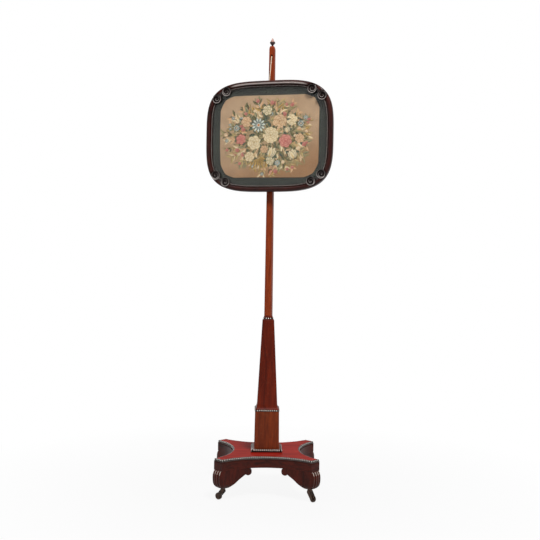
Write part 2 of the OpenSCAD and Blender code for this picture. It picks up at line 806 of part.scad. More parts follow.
module frame_bottom_rail() color(black_wood) frame_piece(180 + rail_angle, 360 - rail_angle, 12);

module frame_right_stile() color(black_wood) frame_piece(-rail_angle, rail_angle, 36);

// Small bridge between the two scrolls of a corner
module scroll_bridge(sx, sz, gap) {
    places = [for (p = volute_places()) [sx * p[0], sz * p[1]]];
    span = places[1] - places[0];
    translate([0, frame_back_y - seat_w, screen_z]) rotate([90, 0, 0])
        translate((places[0] + places[1]) / 2) rotate(atan2(span[1], span[0])) translate([0, 0, volute_h * 0.3])
            cube([norm(span) - 2 * volute_r + 4, 7 + 2 * gap, volute_h * 0.6 + 2 * gap], center = true);
}

// Pair of scrolls at one corner, joined by the bridge
module scrolls(sx, sz) {
    places = [for (p = volute_places()) [sx * p[0], sz * p[1]]];
    color(black_wood) turned() translate([0, frame_back_y - seat_w, screen_z]) rotate([90, 0, 0]) {
        for (p = places) translate(p) rotate_extrude() polygon([
            [0, 0], [volute_r, 0], [volute_r, volute_h * 0.75], [volute_r * 0.94, volute_h], [volute_r * 0.8, volute_h],
            [volute_r * 0.74, volute_h * 0.7], [volute_r * 0.6, volute_h * 0.7], [volute_r * 0.55, volute_h],
            [volute_r * 0.42, volute_h], [volute_r * 0.36, volute_h * 0.7], [volute_r * 0.22, volute_h * 0.75],
            [volute_r * 0.12, volute_h], [0, volute_h],
        ]);
    }
    color(black_wood) turned() scroll_bridge(sx, sz, 0);
}

module sight_beading() {
    color(black_wood) turned() difference() {
        looped([for (a = [0:4:356]) section_ring(a, sight_section)]);
        for (sx = [-1, 1], sz = [-1, 1]) {
            volute_seats(sx, sz, volute_r + slide_gap);
            scroll_bridge(sx, sz, slide_gap);
        }
    }
}

module glass() color("#a9b4ad", 0.35) panel(rebate_u + panel_gap, glass_depth, glass_t);

module cloth_ground() color("#22261f") panel(rebate_u + panel_gap, ground_w, ground_t);

module needlework() {
    outline = [for (a = [0:3:357]) rim_edge(a, needlework_w / 2, needlework_h / 2, 5)];
    color("#b39878") turned() translate([0, frame_back_y - needlework_depth, screen_z]) rotate([90, 0, 0])
        linear_extrude(needlework_t) polygon(outline);
}

module backboard() {
    color("#6a4a30") difference() {
        panel(rebate_u + panel_gap, 0, backboard_t);
        keeper_screw_set();
    }
}

// Slide blocks

block_places = [screen_z - block_offset, screen_z + block_offset];

module slide_block(z, slot_half) {
    color(dark_wood) difference() {
        turned() translate([-block_w / 2, frame_back_y, z - block_h / 2]) difference() {
            cube([block_w, keeper_y - frame_back_y, block_h]);
            translate([block_w / 2 - slot_half, -frame_back_y - slot_half, -1])
                cube([2 * slot_half, far, block_h + 2]);
        }
        keeper_screw_set();
    }
}

module keeper(z) {
    color(brass) difference() {
        turned() translate([-block_w / 2, keeper_y, z - block_h / 2]) cube([block_w, keeper_t, block_h]);
        keeper_screw_set();
    }
}

// Bowed leaf between the keeper and the pole
module spring(z, slot_half) {
    rise = keeper_y - slot_half;
    half = block_h / 2 - 4;
    r = (half * half + rise * rise) / (2 * rise);
    color(brass) turned() translate([-slot_half / 2, slot_half + r, z]) rotate([90, 0, 90]) linear_extrude(slot_half) intersection() {
        difference() {
            circle(r = r, $fn = 180);
            circle(r = r - spring_t, $fn = 180);
        }
        translate([-r - 1, -half]) square([rise + 1 - 0.05, 2 * half]);
    }
}

module keeper_screw_set() {
    for (z = block_places, sx = [-1, 1], sz = [-1, 1]) turned()
        translate([sx * keeper_screw_x, keeper_y + keeper_t, z + sz * keeper_screw_z]) rotate([90, 0, 0])
            cylinder(d = keeper_screw_d, h = keeper_y + keeper_t - frame_back_y + keeper_screw_deep);
}

module keeper_screws() {
    head_h = keeper_screw_d * 0.6;
    color(brass) {
        keeper_screw_set();
        for (z = block_places, sx = [-1, 1], sz = [-1, 1]) turned()
            translate([sx * keeper_screw_x, keeper_y + keeper_t + head_h, z + sz * keeper_screw_z]) rotate([90, 0, 0])
                cylinder(d = 2 * keeper_screw_d, h = head_h);
    }
}

module cord_eye() {
    color(brass) turned() {
        translate([eye_x, eye_y, eye_z]) rotate([0, 90, 0]) rotate_extrude() translate([eye_ring_r, 0]) circle(d = eye_wire_d, $fn = 32);
        eye_shank(eye_wire_d);
    }
}

// Casters

module caster_fork(k) {
    axle_half = wheel_w / 2 + cheek_gap + cheek_t;
    color(bronze) at_stem(k) {
        translate([0, 0, fork_top_z - fork_head_h]) cylinder(d = fork_head_d, h = fork_head_h);
        translate([0, 0, fork_top_z - 1]) cylinder(d = stem_d, h = caster_h + stem_len - fork_top_z + 1);
        for (side = [0, 1]) mirror([0, side, 0]) translate([0, axle_half, 0]) rotate([90, 0, 0]) linear_extrude(cheek_t)
            link([1, fork_top_z - cheek_head_r], cheek_head_r, [caster_trail, wheel_z], cheek_foot_r);
        translate([caster_trail, axle_half, wheel_z]) rotate([90, 0, 0]) cylinder(d = axle_d, h = 2 * axle_half);
    }
}

module caster_wheel(k) {
    color("#5a4030") at_stem(k) translate([caster_trail, 0, wheel_z]) rotate([90, 0, 0]) rotate_extrude() intersection() {
        translate([axle_d / 2 + run_gap, -wheel_w / 2]) square([wheel_d, wheel_w]);
        translate([wheel_d / 2 - wheel_crown_r, 0]) circle(r = wheel_crown_r);
    }
}

platform_top();
frieze_rails();
corner_blocks();
platform_beading();
for (k = [0:3]) {
    foot(k);
    brackets(k);
    caster_fork(k);
    caster_wheel(k);
}
caster_sockets();
column_plinth();
plinth_beading();
column_die();
die_beading();
column_shaft();
column_cap();
cap_beading();
column_screws();
pole();
pole_slip();
finial();
sheave_pin();
cord_front();
cord_over();
cord_inside();
frame_top_rail();
frame_bottom_rail();
frame_left_stile();
frame_right_stile();
scrolls(-1, 1);  // scrolls_tl
scrolls(1, 1);  // scrolls_tr
scrolls(1, -1);  // scrolls_br
scrolls(-1, -1);  // scrolls_bl
sight_beading();
glass();
needlework();
cloth_ground();
backboard();
slide_block(block_places[1], slot_half_upper);  // slide_block_upper
slide_block(block_places[0], slot_half_lower);  // slide_block_lower
keeper(block_places[1]);  // keeper_upper
keeper(block_places[0]);  // keeper_lower
spring(block_places[1], slot_half_upper);  // spring_upper
spring(block_places[0], slot_half_lower);  // spring_lower
keeper_screws();
cord_eye();
sheave();
counterweight();
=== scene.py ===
import random
from math import atan2, cos, hypot, pi, radians, sin, sqrt

import bmesh
import bpy
import numpy as np
from mathutils import Matrix, Vector


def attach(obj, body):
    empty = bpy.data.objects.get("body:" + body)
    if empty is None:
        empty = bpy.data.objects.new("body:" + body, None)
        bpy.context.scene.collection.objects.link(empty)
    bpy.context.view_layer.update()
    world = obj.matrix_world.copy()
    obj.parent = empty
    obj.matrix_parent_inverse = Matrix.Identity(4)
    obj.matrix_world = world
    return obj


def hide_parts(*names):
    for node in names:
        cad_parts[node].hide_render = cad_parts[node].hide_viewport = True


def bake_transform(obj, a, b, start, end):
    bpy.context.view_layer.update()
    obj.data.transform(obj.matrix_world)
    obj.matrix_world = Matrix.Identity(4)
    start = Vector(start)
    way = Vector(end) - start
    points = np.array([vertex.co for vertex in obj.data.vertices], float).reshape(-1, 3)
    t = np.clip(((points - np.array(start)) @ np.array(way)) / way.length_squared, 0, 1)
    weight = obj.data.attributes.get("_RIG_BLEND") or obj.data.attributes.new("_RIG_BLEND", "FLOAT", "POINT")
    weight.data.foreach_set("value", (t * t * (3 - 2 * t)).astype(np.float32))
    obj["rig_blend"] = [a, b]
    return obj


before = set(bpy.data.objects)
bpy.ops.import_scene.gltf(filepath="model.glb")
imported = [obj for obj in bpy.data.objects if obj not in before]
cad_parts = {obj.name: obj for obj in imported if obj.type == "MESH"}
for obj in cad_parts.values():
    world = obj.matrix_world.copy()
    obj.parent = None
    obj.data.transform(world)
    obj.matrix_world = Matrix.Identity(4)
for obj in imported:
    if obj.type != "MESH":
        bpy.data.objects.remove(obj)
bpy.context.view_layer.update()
scene = bpy.context.scene
scene.view_settings.view_transform = "Standard"
mm = 0.001
print("frame loaded:", len(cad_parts), "nodes")

# the pole and the screen stand turned against the base
restTurn = radians(-16)
turned = Matrix.Rotation(restTurn, 4, "Z")
screenFront = turned @ Vector((0, -1, 0))


def onScreen(x, y, z):
    return turned @ Vector((x * mm, y * mm, z * mm))


# camera, set to the photograph's viewing angle
cameraSet = {"place": (-0.0433, -2.856, 0.7482), "yaw": 0.931, "pitch": 0.312, "roll": 0.876, "lens": 57.08,
             "sensor": 36}


def makeCamera(values):
    data = bpy.data.cameras.new("camera")
    data.lens = values["lens"]
    data.sensor_width = values["sensor"]
    data.dof.use_dof = False
    camera = bpy.data.objects.new("camera", data)
    aim = Matrix.Rotation(radians(-values["yaw"]), 4, "Z") @ Matrix.Rotation(radians(90 - values["pitch"]), 4, "X")
    roll = Matrix.Rotation(radians(values["roll"]), 4, "Z")
    camera.matrix_world = Matrix.Translation(values["place"]) @ aim @ roll
    scene.collection.objects.link(camera)
    scene.camera = camera


makeCamera(cameraSet)


# node helpers
def tint(text):
    parts = [int(text[i:i + 2], 16) / 255 for i in (0, 2, 4)]
    return tuple(p / 12.92 if p < 0.04045 else ((p + 0.055) / 1.055) ** 2.4 for p in parts) + (1,)


def fillInputs(tree, node, inputs):
    for key, value in inputs.items():
        if isinstance(value, bpy.types.NodeSocket):
            tree.links.new(value, node.inputs[key])
        else:
            node.inputs[key].default_value = value
    return node


def addNode(tree, kind, inputs=None, **settings):
    node = tree.nodes.new("ShaderNode" + kind)
    for key, value in settings.items():
        setattr(node, key, value)
    return fillInputs(tree, node, inputs or {})


def makeGroup(name, inputs, outputs):
    tree = bpy.data.node_groups.new(name, "ShaderNodeTree")
    for way, sockets in (("INPUT", inputs), ("OUTPUT", outputs)):
        for label, kind in sockets.items():
            tree.interface.new_socket(name=label, in_out=way, socket_type="NodeSocket" + kind)
    return tree, tree.nodes.new("NodeGroupInput").outputs, tree.nodes.new("NodeGroupOutput")


def useGroup(tree, group, **inputs):
    return addNode(tree, "Group", inputs, node_tree=group).outputs


def calc(tree, operation, *values, clamp=False):
    return addNode(tree, "Math", dict(enumerate(values)), operation=operation, use_clamp=clamp).outputs[0]


def noise(tree, vector, scale, detail, roughness=0.5, distortion=0.0):
    inputs = {"Vector": vector, "Scale": scale, "Detail": detail, "Roughness": roughness, "Distortion": distortion}
    return addNode(tree, "TexNoise", inputs).outputs[0]


def mixColour(tree, share, a, b, blend="MIX"):
    return addNode(tree, "Mix", {0: share, 6: a, 7: b}, data_type="RGBA", blend_type=blend).outputs[2]


def spread(tree, value, low, high, toLow=0.0, toHigh=1.0):
    inputs = {"Value": value, "From Min": low, "From Max": high, "To Min": toLow, "To Max": toHigh}
    return addNode(tree, "MapRange", inputs).outputs[0]


def bumped(tree, height, strength, distance):
    return addNode(tree, "Bump", {"Height": height, "Strength": strength, "Distance": distance}).outputs[0]


# streaks, pores and slow tone changes of polished wood
def makeWoodGrain():
    tree, given, result = makeGroup(
        "woodGrain", {"Vector": "Vector", "Light": "Color", "Dark": "Color", "Contrast": "Float", "Pores": "Float"},
        {"Color": "Color", "Roughness": "Float", "Height": "Float"})
    streak = noise(tree, given["Vector"], 3.0, 6.0, 0.62, 0.9)
    slow = noise(tree, given["Vector"], 0.55, 2.0)
    pore = spread(tree, noise(tree, given["Vector"], 24.0, 2.0, 0.55), 0.56, 0.72)
    centred = calc(tree, "MULTIPLY", spread(tree, streak, 0.32, 0.68, -0.5, 0.5), given["Contrast"])
    tone = calc(tree, "ADD", centred, spread(tree, slow, 0.3, 0.7, 0.25, 0.75), clamp=True)
    wood = mixColour(tree, tone, given["Dark"], given["Light"])
    wood = mixColour(tree, calc(tree, "MULTIPLY", pore, given["Pores"]), wood, (0.012, 0.005, 0.003, 1))
    fillInputs(tree, result, {
        "Color": wood, "Roughness": spread(tree, slow, 0.3, 0.7, 0.3, 0.46),
        "Height": calc(tree, "ADD", spread(tree, pore, 0.0, 1.0, 1.0, 0.0), streak)})
    return tree


# small rubbed and dulled patches, shared by wood and metal
def makeRubbed():
    tree, given, result = makeGroup(
        "rubbedPatches", {"Vector": "Vector", "Color": "Color", "Worn": "Color", "Amount": "Float", "Size": "Float"},
        {"Color": "Color", "Mask": "Float"})
    patch = noise(tree, given["Vector"], given["Size"], 5.0, 0.7)
    mask = calc(tree, "MULTIPLY", spread(tree, patch, 0.58, 0.74), given["Amount"], clamp=True)
    fillInputs(tree, result, {"Color": mixColour(tree, mask, given["Color"], given["Worn"]), "Mask": mask})
    return tree


# stitches of wool on canvas: u and v are counted in stitches
def makeStitches():
    tree, given, result = makeGroup("woolStitches", {"Vector": "Vector", "Slant": "Float"},
                                    {"Height": "Float", "Tone": "Float"})
    split = addNode(tree, "SeparateXYZ", {"Vector": given["Vector"]}).outputs
    lean = calc(tree, "MULTIPLY_ADD", split[1], given["Slant"], split[0])
    waves = []
    for way in (lean, split[1]):
        wave = calc(tree, "SINE", calc(tree, "MULTIPLY", way, 2 * pi))
        waves.append(spread(tree, wave, -1.0, 1.0))
    fuzz = noise(tree, given["Vector"], 0.8, 3.0)
    total = calc(tree, "MULTIPLY_ADD", fuzz, 0.6, calc(tree, "MULTIPLY", *waves))
    fillInputs(tree, result, {"Height": total, "Tone": spread(tree, total, 0.25, 1.1, 0.74, 1.12)})
    return tree


woodGrain = makeWoodGrain()
rubbed = makeRubbed()
stitches = makeStitches()


def startMaterial(name):
    material = bpy.data.materials.new(name)
    material.use_nodes = True
    return material, material.node_tree, material.node_tree.nodes["Principled BSDF"]


def objectVector(tree, **mapping):
    coords = addNode(tree, "TexCoord").outputs["Object"]
    return addNode(tree, "Mapping", {"Vector": coords, **mapping}).outputs[0]


# what a wood has unless its own row says otherwise; grain is the stretch of the figure along x, y and z; ridge is the
# pale tint of painted highlights
woodSet = {"grain": (34, 34, 2.6), "turn": (0, 0, 0), "place": (0, 0, 0), "contrast": 1.0, "pores": 0.45,
           "worn": "8a5a40", "wornAmount": 0.15, "wornSize": 60.0, "shine": 0.12, "coat": 0.1, "coatRoughness": 0.16,
           "ridge": None, "ridgeAmount": 0.8, "ridgeFrom": 0.45, "ridgeFull": 0.97,
           "edgeBelow": None, "edgeFade": 0.3, "edgeLight": "571d10", "edgeDark": "2b0d07", "edgePores": 0.5}


def makeWood(name, light, dark, **changes):
    w = {**woodSet, **changes}
    material, tree, shader = startMaterial(name)
    vector = objectVector(tree, Scale=w["grain"], Rotation=w["turn"], Location=w["place"])
    wood = useGroup(tree, woodGrain, Vector=vector, Light=tint(light), Dark=tint(dark), Contrast=w["contrast"],
                    Pores=w["pores"])
    coords = addNode(tree, "TexCoord").outputs["Object"]
    colour = wood["Color"]
    if w["edgeBelow"]:  # the board's edge under its moulding is stained dark
        height = addNode(tree, "SeparateXYZ", {"Vector": coords}).outputs[2]
        share = spread(tree, height, w["edgeBelow"] * mm, (w["edgeBelow"] + w["edgeFade"]) * mm, 1.0, 0.0)
        stained = useGroup(tree, woodGrain, Vector=vector, Light=tint(w["edgeLight"]), Dark=tint(w["edgeDark"]),
                           Contrast=w["contrast"], Pores=w["edgePores"])
        colour = mixColour(tree, share, colour, stained["Color"])
    rub = useGroup(tree, rubbed, Vector=coords, Color=colour, Worn=tint(w["worn"]), Amount=w["wornAmount"],
                   Size=w["wornSize"])
    colour = rub["Color"]
    if w["ridge"]:  # painted highlight: a pale tint where the mesh's highlight attribute is high
        highlightOf = addNode(tree, "Attribute", attribute_name="paintedHighlight").outputs["Fac"]
        share = spread(tree, highlightOf, w["ridgeFrom"], w["ridgeFull"], 0.0, w["ridgeAmount"])
        colour = mixColour(tree, share, colour, tint(w["ridge"]))
    fillInputs(tree, shader, {
        "Base Color": colour, "Specular IOR Level": w["shine"], "Coat Weight": w["coat"],
        "Coat Roughness": w["coatRoughness"], "Normal": bumped(tree, wood["Height"], 0.12, 0.0006),
        "Roughness": calc(tree, "MULTIPLY_ADD", rub["Mask"], 0.35, wood["Roughness"], clamp=True)})
    return material


metalSet = {"cloudSize": 45.0, "wornAmount": 0.6, "wornSize": 70.0, "metallic": 0.7}


def makeMetal(name, colour, dark, worn, roughness):
    material, tree, shader = startMaterial(name)
    vector = objectVector(tree)
    cloud = noise(tree, vector, metalSet["cloudSize"], 5.0, 0.65)
    base = mixColour(tree, spread(tree, cloud, 0.35, 0.65), tint(dark), tint(colour))
    rub = useGroup(tree, rubbed, Vector=vector, Color=base, Worn=tint(worn), Amount=metalSet["wornAmount"],
                   Size=metalSet["wornSize"])
    fillInputs(tree, shader, {
        "Base Color": rub["Color"], "Metallic": metalSet["metallic"], "Normal": bumped(tree, cloud, 0.1, 0.0004),
        "Roughness": spread(tree, rub["Mask"], 0.0, 1.0, roughness, roughness * 0.6)})
    return material


flat = (2.6, 34, 34)
woods = {
    "dieWood": dict(light="8a3a17", dark="57200d", contrast=0.9, worn="9a5a38", wornAmount=0.2),
    "shaftWood": dict(light="77250d", dark="4b1005", contrast=0.9),
    "plinthWood": dict(light="722a14", dark="46150a", grain=flat),
    "poleWood": dict(light="a8481f", dark="71260f", contrast=0.9, place=(3, 1, 0)),
    "topWood": dict(light="ba2c1f", dark="84190f", grain=flat, contrast=0.8, pores=0.3, shine=0.0, coat=0.25,
                    coatRoughness=0.05, edgeBelow=126.0),
    "wallWood": dict(light="5b1d10", dark="2d0e07", grain=(8, 8, 40), contrast=0.9, worn="6b3020", coat=0.12),
    "footWood": dict(light="5d1e11", dark="2e0e08", grain=(24, 24, 5), contrast=0.8, worn="7a4030", wornAmount=0.2,
                     ridge="d3c5ba", ridgeAmount=0.9),
    "frameWood": dict(light="451810", dark="170706", grain=(16, 16, 16), contrast=0.6, pores=0.2, worn="5d2f25",
                      wornAmount=0.25, coat=0.25, coatRoughness=0.1, ridge="d6cac4", ridgeAmount=0.88),
    "scrollWood": dict(light="26110d", dark="0d0504", grain=(30, 30, 30), contrast=0.6, pores=0.1, worn="4a2a22",
                       wornAmount=0.2, shine=0.15, coat=0.3, coatRoughness=0.1, ridge="ded3cd", ridgeAmount=0.92,
                       ridgeFrom=0.5),
    "beadWood": dict(light="2b1510", dark="100706", grain=(30, 30, 30), contrast=0.7, pores=0.1, worn="4a362e",
                     wornAmount=0.3, wornSize=120.0, shine=0.2, coat=0.5, coatRoughness=0.12, ridge="f6ece2",
                     ridgeAmount=1.0, ridgeFrom=0.68),
    "finialWood": dict(light="3d1510", dark="1d0806", contrast=0.7, pores=0.2, worn="6b3a2e", wornAmount=0.3,
                       shine=0.3, coat=0.5, coatRoughness=0.1, ridge="c99a8c", ridgeAmount=0.85, ridgeFrom=0.3),
    "blockWood": dict(light="5a2c1c", dark="331610", contrast=0.8),
    "boardWood": dict(light="7a5638", dark="4c3220", grain=(3, 30, 30), turn=(0, 0, -restTurn), pores=0.6, coat=0.0,
                      worn="9a7a58", wornAmount=0.35, wornSize=18.0),
}
metals = {"bronze": ("5c463a", "241a16", "c4aa98", 0.28), "brass": ("a07c42", "5c4322", "c9a765", 0.32),
          "steel": ("7d7b78", "44423f", "a5a29c", 0.35), "iron": ("4a4a4c", "2a2a2b", "6c6560", 0.6)}
skins = {name: makeWood(name, **values) for name, values in woods.items()}
skins.update({name: makeMetal(name, *values) for name, values in metals.items()})
print("woods and metals ready:", len(skins))


# a finished mesh as a piece that rides on a body and stands for one solid
def placePiece(bm, name, skin, body, node, bevel=0.0):
    mesh = bpy.data.meshes.new(name)
    bm.to_mesh(mesh)
    bm.free()
    mesh.materials.append(skins[skin])
    piece = bpy.data.objects.new(name, mesh)
    scene.collection.objects.link(piece)
    if bevel:
        modifier = piece.modifiers.new("roundEdges", "BEVEL")
        modifier.width = bevel
        modifier.segments = 2
        modifier.limit_method = "ANGLE"
        modifier.angle_limit = radians(40)
        modifier.harden_normals = True
        modifier.use_clamp_overlap = True
    if body:
        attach(piece, body)
    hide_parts(node)
    return piece


def finishMesh(bm, name, skin, body, node, sharpAngle=40, bevel=0.0):
    bmesh.ops.recalc_face_normals(bm, faces=bm.faces)
    for face in bm.faces:
        face.smooth = True
    limit = radians(sharpAngle)
    for edge in bm.edges:
        edge.smooth = not (edge.is_manifold and edge.calc_face_angle(0) > limit)
    return placePiece(bm, name, skin, body, node, bevel)


# copies of solids with flat faces joined and edges eased; a row has the solid, the piece, skin, slot and easing
def easedCopies(body, *rows):
    for node, name, skin, slot, bevel in rows:
        bm = bmesh.new()
        bm.from_mesh(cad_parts[node].data)
        bmesh.ops.remove_doubles(bm, verts=bm.verts, dist=1e-6)
        bmesh.ops.dissolve_limit(bm, angle_limit=radians(0.5), verts=bm.verts, edges=bm.edges,
                                 use_dissolve_boundaries=False)
        finishMesh(bm, name, skin, body, node, bevel=bevel * mm)


def layerOf(layers, name):
    return layers.get(name) or layers.new(name)


# a strip of faces: place(k, i) gives step k of the section at step i of the path, and the optional second function
# gives the painted highlight there
# a ring closes both ways, a rod's path is open and capped, a drum's section is open and capped, a sheet's stays open
def sweepStrip(bm, pathCount, sectionCount, place, form, highlightOf=None):
    order = layerOf(bm.verts.layers.int, "order")
    paintedHighlight = layerOf(bm.verts.layers.float, "paintedHighlight")
    ring = []
    for i in range(pathCount):
        vert = bm.verts.new(place(0, i))
        vert[order] = i
        ring.append(vert)
    last = pathCount - 1 if form == "rod" else pathCount
    edges = firstEdges = [bm.edges.new((ring[i], ring[(i + 1) % pathCount])) for i in range(last)]
    rings = [ring]
    for k in range(1, sectionCount):
        grown = bmesh.ops.extrude_edge_only(bm, edges=edges)["geom"]
        verts = [g for g in grown if isinstance(g, bmesh.types.BMVert)]
        fresh = set(verts)
        edges = [g for g in grown if isinstance(g, bmesh.types.BMEdge) and all(v in fresh for v in g.verts)]
        for vert in verts:
            vert.co = place(k, vert[order])
        rings.append(sorted(verts, key=lambda v: v[order]))
    for k, ring in enumerate(rings):
        for i, vert in enumerate(ring):
            vert[paintedHighlight] = highlightOf(k, i) if highlightOf else 0.0
    ends = []
    if form in ("ring", "rod"):
        bmesh.ops.bridge_loops(bm, edges=firstEdges + edges)
    if form == "rod":
        ends = [[r[0] for r in rings], [r[-1] for r in rings]]
    if form == "drum":
        ends = [rings[0], rings[-1]]
    for end in ends:
        bm.faces.new(end)
    return rings


# a bead with one row of points facing out; a highlight is painted pale on its front
def addBead(bm, centre, radius, out, bright=1.0):
    paintedHighlight = layerOf(bm.verts.layers.float, "paintedHighlight")
    up = Vector((0, 0, 1))
    aim = Matrix((out, up.cross(out).normalized(), up)).transposed().to_4x4()
    grown = bmesh.ops.create_uvsphere(bm, u_segments=10, v_segments=6, radius=radius)
    for vert in grown["verts"]:
        spot = vert.co.normalized()
        flatness = hypot(spot.x, spot.y)
        if flatness > 0.01:
            vert[paintedHighlight] = bright * spot.x / flatness * min(1.0, 1.25 * (flatness + 0.25 * spot.z))
        else:
            vert[paintedHighlight] = bright * 0.9
    bmesh.ops.transform(bm, matrix=Matrix.Translation(centre) @ aim, verts=grown["verts"])


# cord: pale and twisted, from the sheave's front down to the eye on the frame, and over the sheave to the weight
cordSet = {"radius": 1.5, "girth": 9.4, "ridges": 3, "pitch": 7.0, "depth": 0.16, "sides": 18, "sheaveY": -4.389,
           "sheaveZ": 1436.2, "turnR": 6.0, "eye": (-5.0, -15.4464, 1353.3), "weightZ": 337.0, "frontStep": 0.8,
           "insideStep": 4.0, "shade": "ddbb9c", "light": "fbe8d2"}


def makeCordSkin():
    material, tree, shader = startMaterial("cordYarn")
    uv = addNode(tree, "UVMap", uv_map="strands").outputs[0]
    fibre = addNode(tree, "Mapping", {"Vector": uv, "Scale": (3.0, 0.9, 1)}).outputs[0]
    yarn = noise(tree, fibre, 9.0, 4.0, 0.7)
    colour = mixColour(tree, spread(tree, yarn, 0.3, 0.7), tint(cordSet["shade"]), tint(cordSet["light"]))
    fillInputs(tree, shader, {"Base Color": colour, "Roughness": 0.9, "Sheen Weight": 0.3,
                              "Normal": bumped(tree, yarn, 0.3, 0.0004)})
    return material


skins["cordYarn"] = makeCordSkin()


def layCord(name, node, body, points):
    sides = cordSet["sides"]
    bm = bmesh.new()
    uvLayer = bm.loops.layers.uv.new("strands")
    lengths = [0.0]
    for a, b in zip(points, points[1:]):
        lengths.append(lengths[-1] + (b - a).length)
    across = turned @ Vector((1, 0, 0))
    frames = []
    for i, p in enumerate(points):
        along = (points[min(i + 1, len(points) - 1)] - points[max(i - 1, 0)]).normalized()
        other = along.cross(across).normalized()
        frames.append((p, other.cross(along).normalized(), other))

    def place(k, i):
        angle = 2 * pi * k / sides
        twist = 2 * pi * lengths[i] / (cordSet["pitch"] * mm)
        ridge = abs(cos((cordSet["ridges"] * angle - twist) / 2))
        r = cordSet["radius"] * mm * (1 - cordSet["depth"] * (1 - ridge))
        p, u, v = frames[i]
        return p + r * (cos(angle) * u + sin(angle) * v)

    rings = sweepStrip(bm, len(points), sides, place, "rod")
    where = {}
    for k, ring in enumerate(rings):
        for i, vert in enumerate(ring):
            where[vert] = (k / sides * cordSet["girth"], lengths[i] / mm)
    for face in bm.faces:
        for loop in face.loops:
            loop[uvLayer].uv = where[loop.vert]
    return finishMesh(bm, name, "cordYarn", body, node, sharpAngle=80)


def linePoints(a, b, step):
    count = max(3, int((b - a).length / step) + 1)
    return [a.lerp(b, i / (count - 1)) for i in range(count)]


def makeCords():
    y, z, r = cordSet["sheaveY"], cordSet["sheaveZ"], cordSet["turnR"]
    frontTop, eyeTop = onScreen(0, y - r, z), onScreen(*cordSet["eye"])
    points = linePoints(frontTop, eyeTop, cordSet["frontStep"] * mm)
    front = layCord("cordFront", "cord_front", None, points)
    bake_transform(front, "pole", "screen", start=tuple(frontTop), end=tuple(eyeTop))
    [tuple(p) for p in points]
    arc = [onScreen(0, y + r * cos(radians(a)), z + r * sin(radians(a))) for a in range(180, -1, -5)]
    layCord("cordOver", "cord_over", "pole", arc)
    backTop, hook = onScreen(0, y + r, z), onScreen(0, 0, cordSet["weightZ"])
    inside = layCord("cordInside", "cord_inside", None, linePoints(backTop, hook, cordSet["insideStep"] * mm))
    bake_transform(inside, "pole", "weight", start=tuple(backTop), end=tuple(hook))
    print("cords laid")


makeCords()

# platform: hollow sides, cut corners, beads round the top edge; moulding has inset and height from the strip's foot
platformSet = {"halfW": 167.5, "leg": 27.0, "hollow": 56.0, "topZ": 134.0, "stripZ": 126.0, "beadD": 5.8, "pitch": 6.5,
               "steps": (60, 10), "filletHighlight": 0.71,
               "moulding": [(4.93, 0.02), (0.9, 0.02), (0.25, 0.4), (0.1, 1.1), (0.25, 1.8), (0.9, 2.2), (2.6, 2.4),
                            (3.0, 6.8), (3.6, 7.65), (4.93, 7.75)]}
chordHalf = platformSet["halfW"] - platformSet["leg"]
hollowR = (chordHalf ** 2 + platformSet["hollow"] ** 2) / (2 * platformSet["hollow"])
hollowC = platformSet["halfW"] - platformSet["hollow"] + hollowR
cornerU = (platformSet["halfW"] + chordHalf) / sqrt(2)


def sideEnd(inset):
    k = platformSet["halfW"] + chordHalf - inset * sqrt(2)
    r = hollowR + inset
    x = ((k - hollowC) + sqrt(2 * r * r - (hollowC - k) ** 2)) / 2
    return x, x - k


def quarterTurn(x, y, quarter):
    a = quarter * pi / 2
    return x * cos(a) - y * sin(a), x * sin(a) + y * cos(a)


# points round the platform, set in from its edge, either a pitch apart or as many as counts says
def platformLoop(inset, pitch=None, counts=None):
    x, y = sideEnd(inset)
    r = hollowR + inset
    endAngle = atan2(y + hollowC, x)
    sweepAngle = pi - 2 * endAngle
    cutLength = sqrt(2) * (-y - x)
    arcCount, cutCount = counts or (max(2, round(r * sweepAngle / pitch)), max(1, round(cutLength / pitch)))
    side = []
    for i in range(arcCount):
        a = pi - endAngle - sweepAngle * i / arcCount
        side.append((r * cos(a), -hollowC + r * sin(a)))
    for i in range(cutCount):
        t = i / cutCount
        side.append((x + (-y - x) * t, y + (-x - y) * t))
    return [quarterTurn(px, py, quarter) for quarter in range(4) for px, py in side]


# the way out from the platform at each of those points
def waysOut(points):
    loop = [Vector(p) for p in points]
    ways = []
    for i, p in enumerate(loop):
        along = loop[(i + 1) % len(loop)] - loop[i - 1]
        way = Vector((along.y, -along.x)).normalized()
        ways.append((way if way.dot(p) > 0 else -way).to_3d())
    return ways


def makePlatform():
    p = platformSet
    loops = [platformLoop(inset, counts=p["steps"]) for inset, rise in p["moulding"]]

    def place(k, i):
        x, y = loops[k][i]
        return x * mm, y * mm, (p["stripZ"] + p["moulding"][k][1]) * mm

    bm = bmesh.new()
    # the fillet under the beads gets a faint painted highlight
    sweepStrip(bm, len(loops[0]), len(loops), place, "ring", lambda k, i: p["filletHighlight"] if 1 <= k <= 4 else 0.0)
    bead = p["beadD"] / 2
    beadLoop = platformLoop(bead, p["pitch"])
    for (x, y), out in zip(beadLoop, waysOut(beadLoop)):
        addBead(bm, (x * mm, y * mm, (p["topZ"] - bead) * mm), bead * mm, out)
    finishMesh(bm, "platformBeading", "beadWood", "stand", "platform_beading", sharpAngle=60)
    easedCopies("stand", ("platform_top", "platformTop", "topWood", "mahogany", 0.4),
                ("frieze_rails", "friezeRails", "wallWood", "carved_wood", 0.3),
                ("corner_blocks", "cornerBlocks", "wallWood", "carved_wood", 0.3))
    print("platform built")


makePlatform()

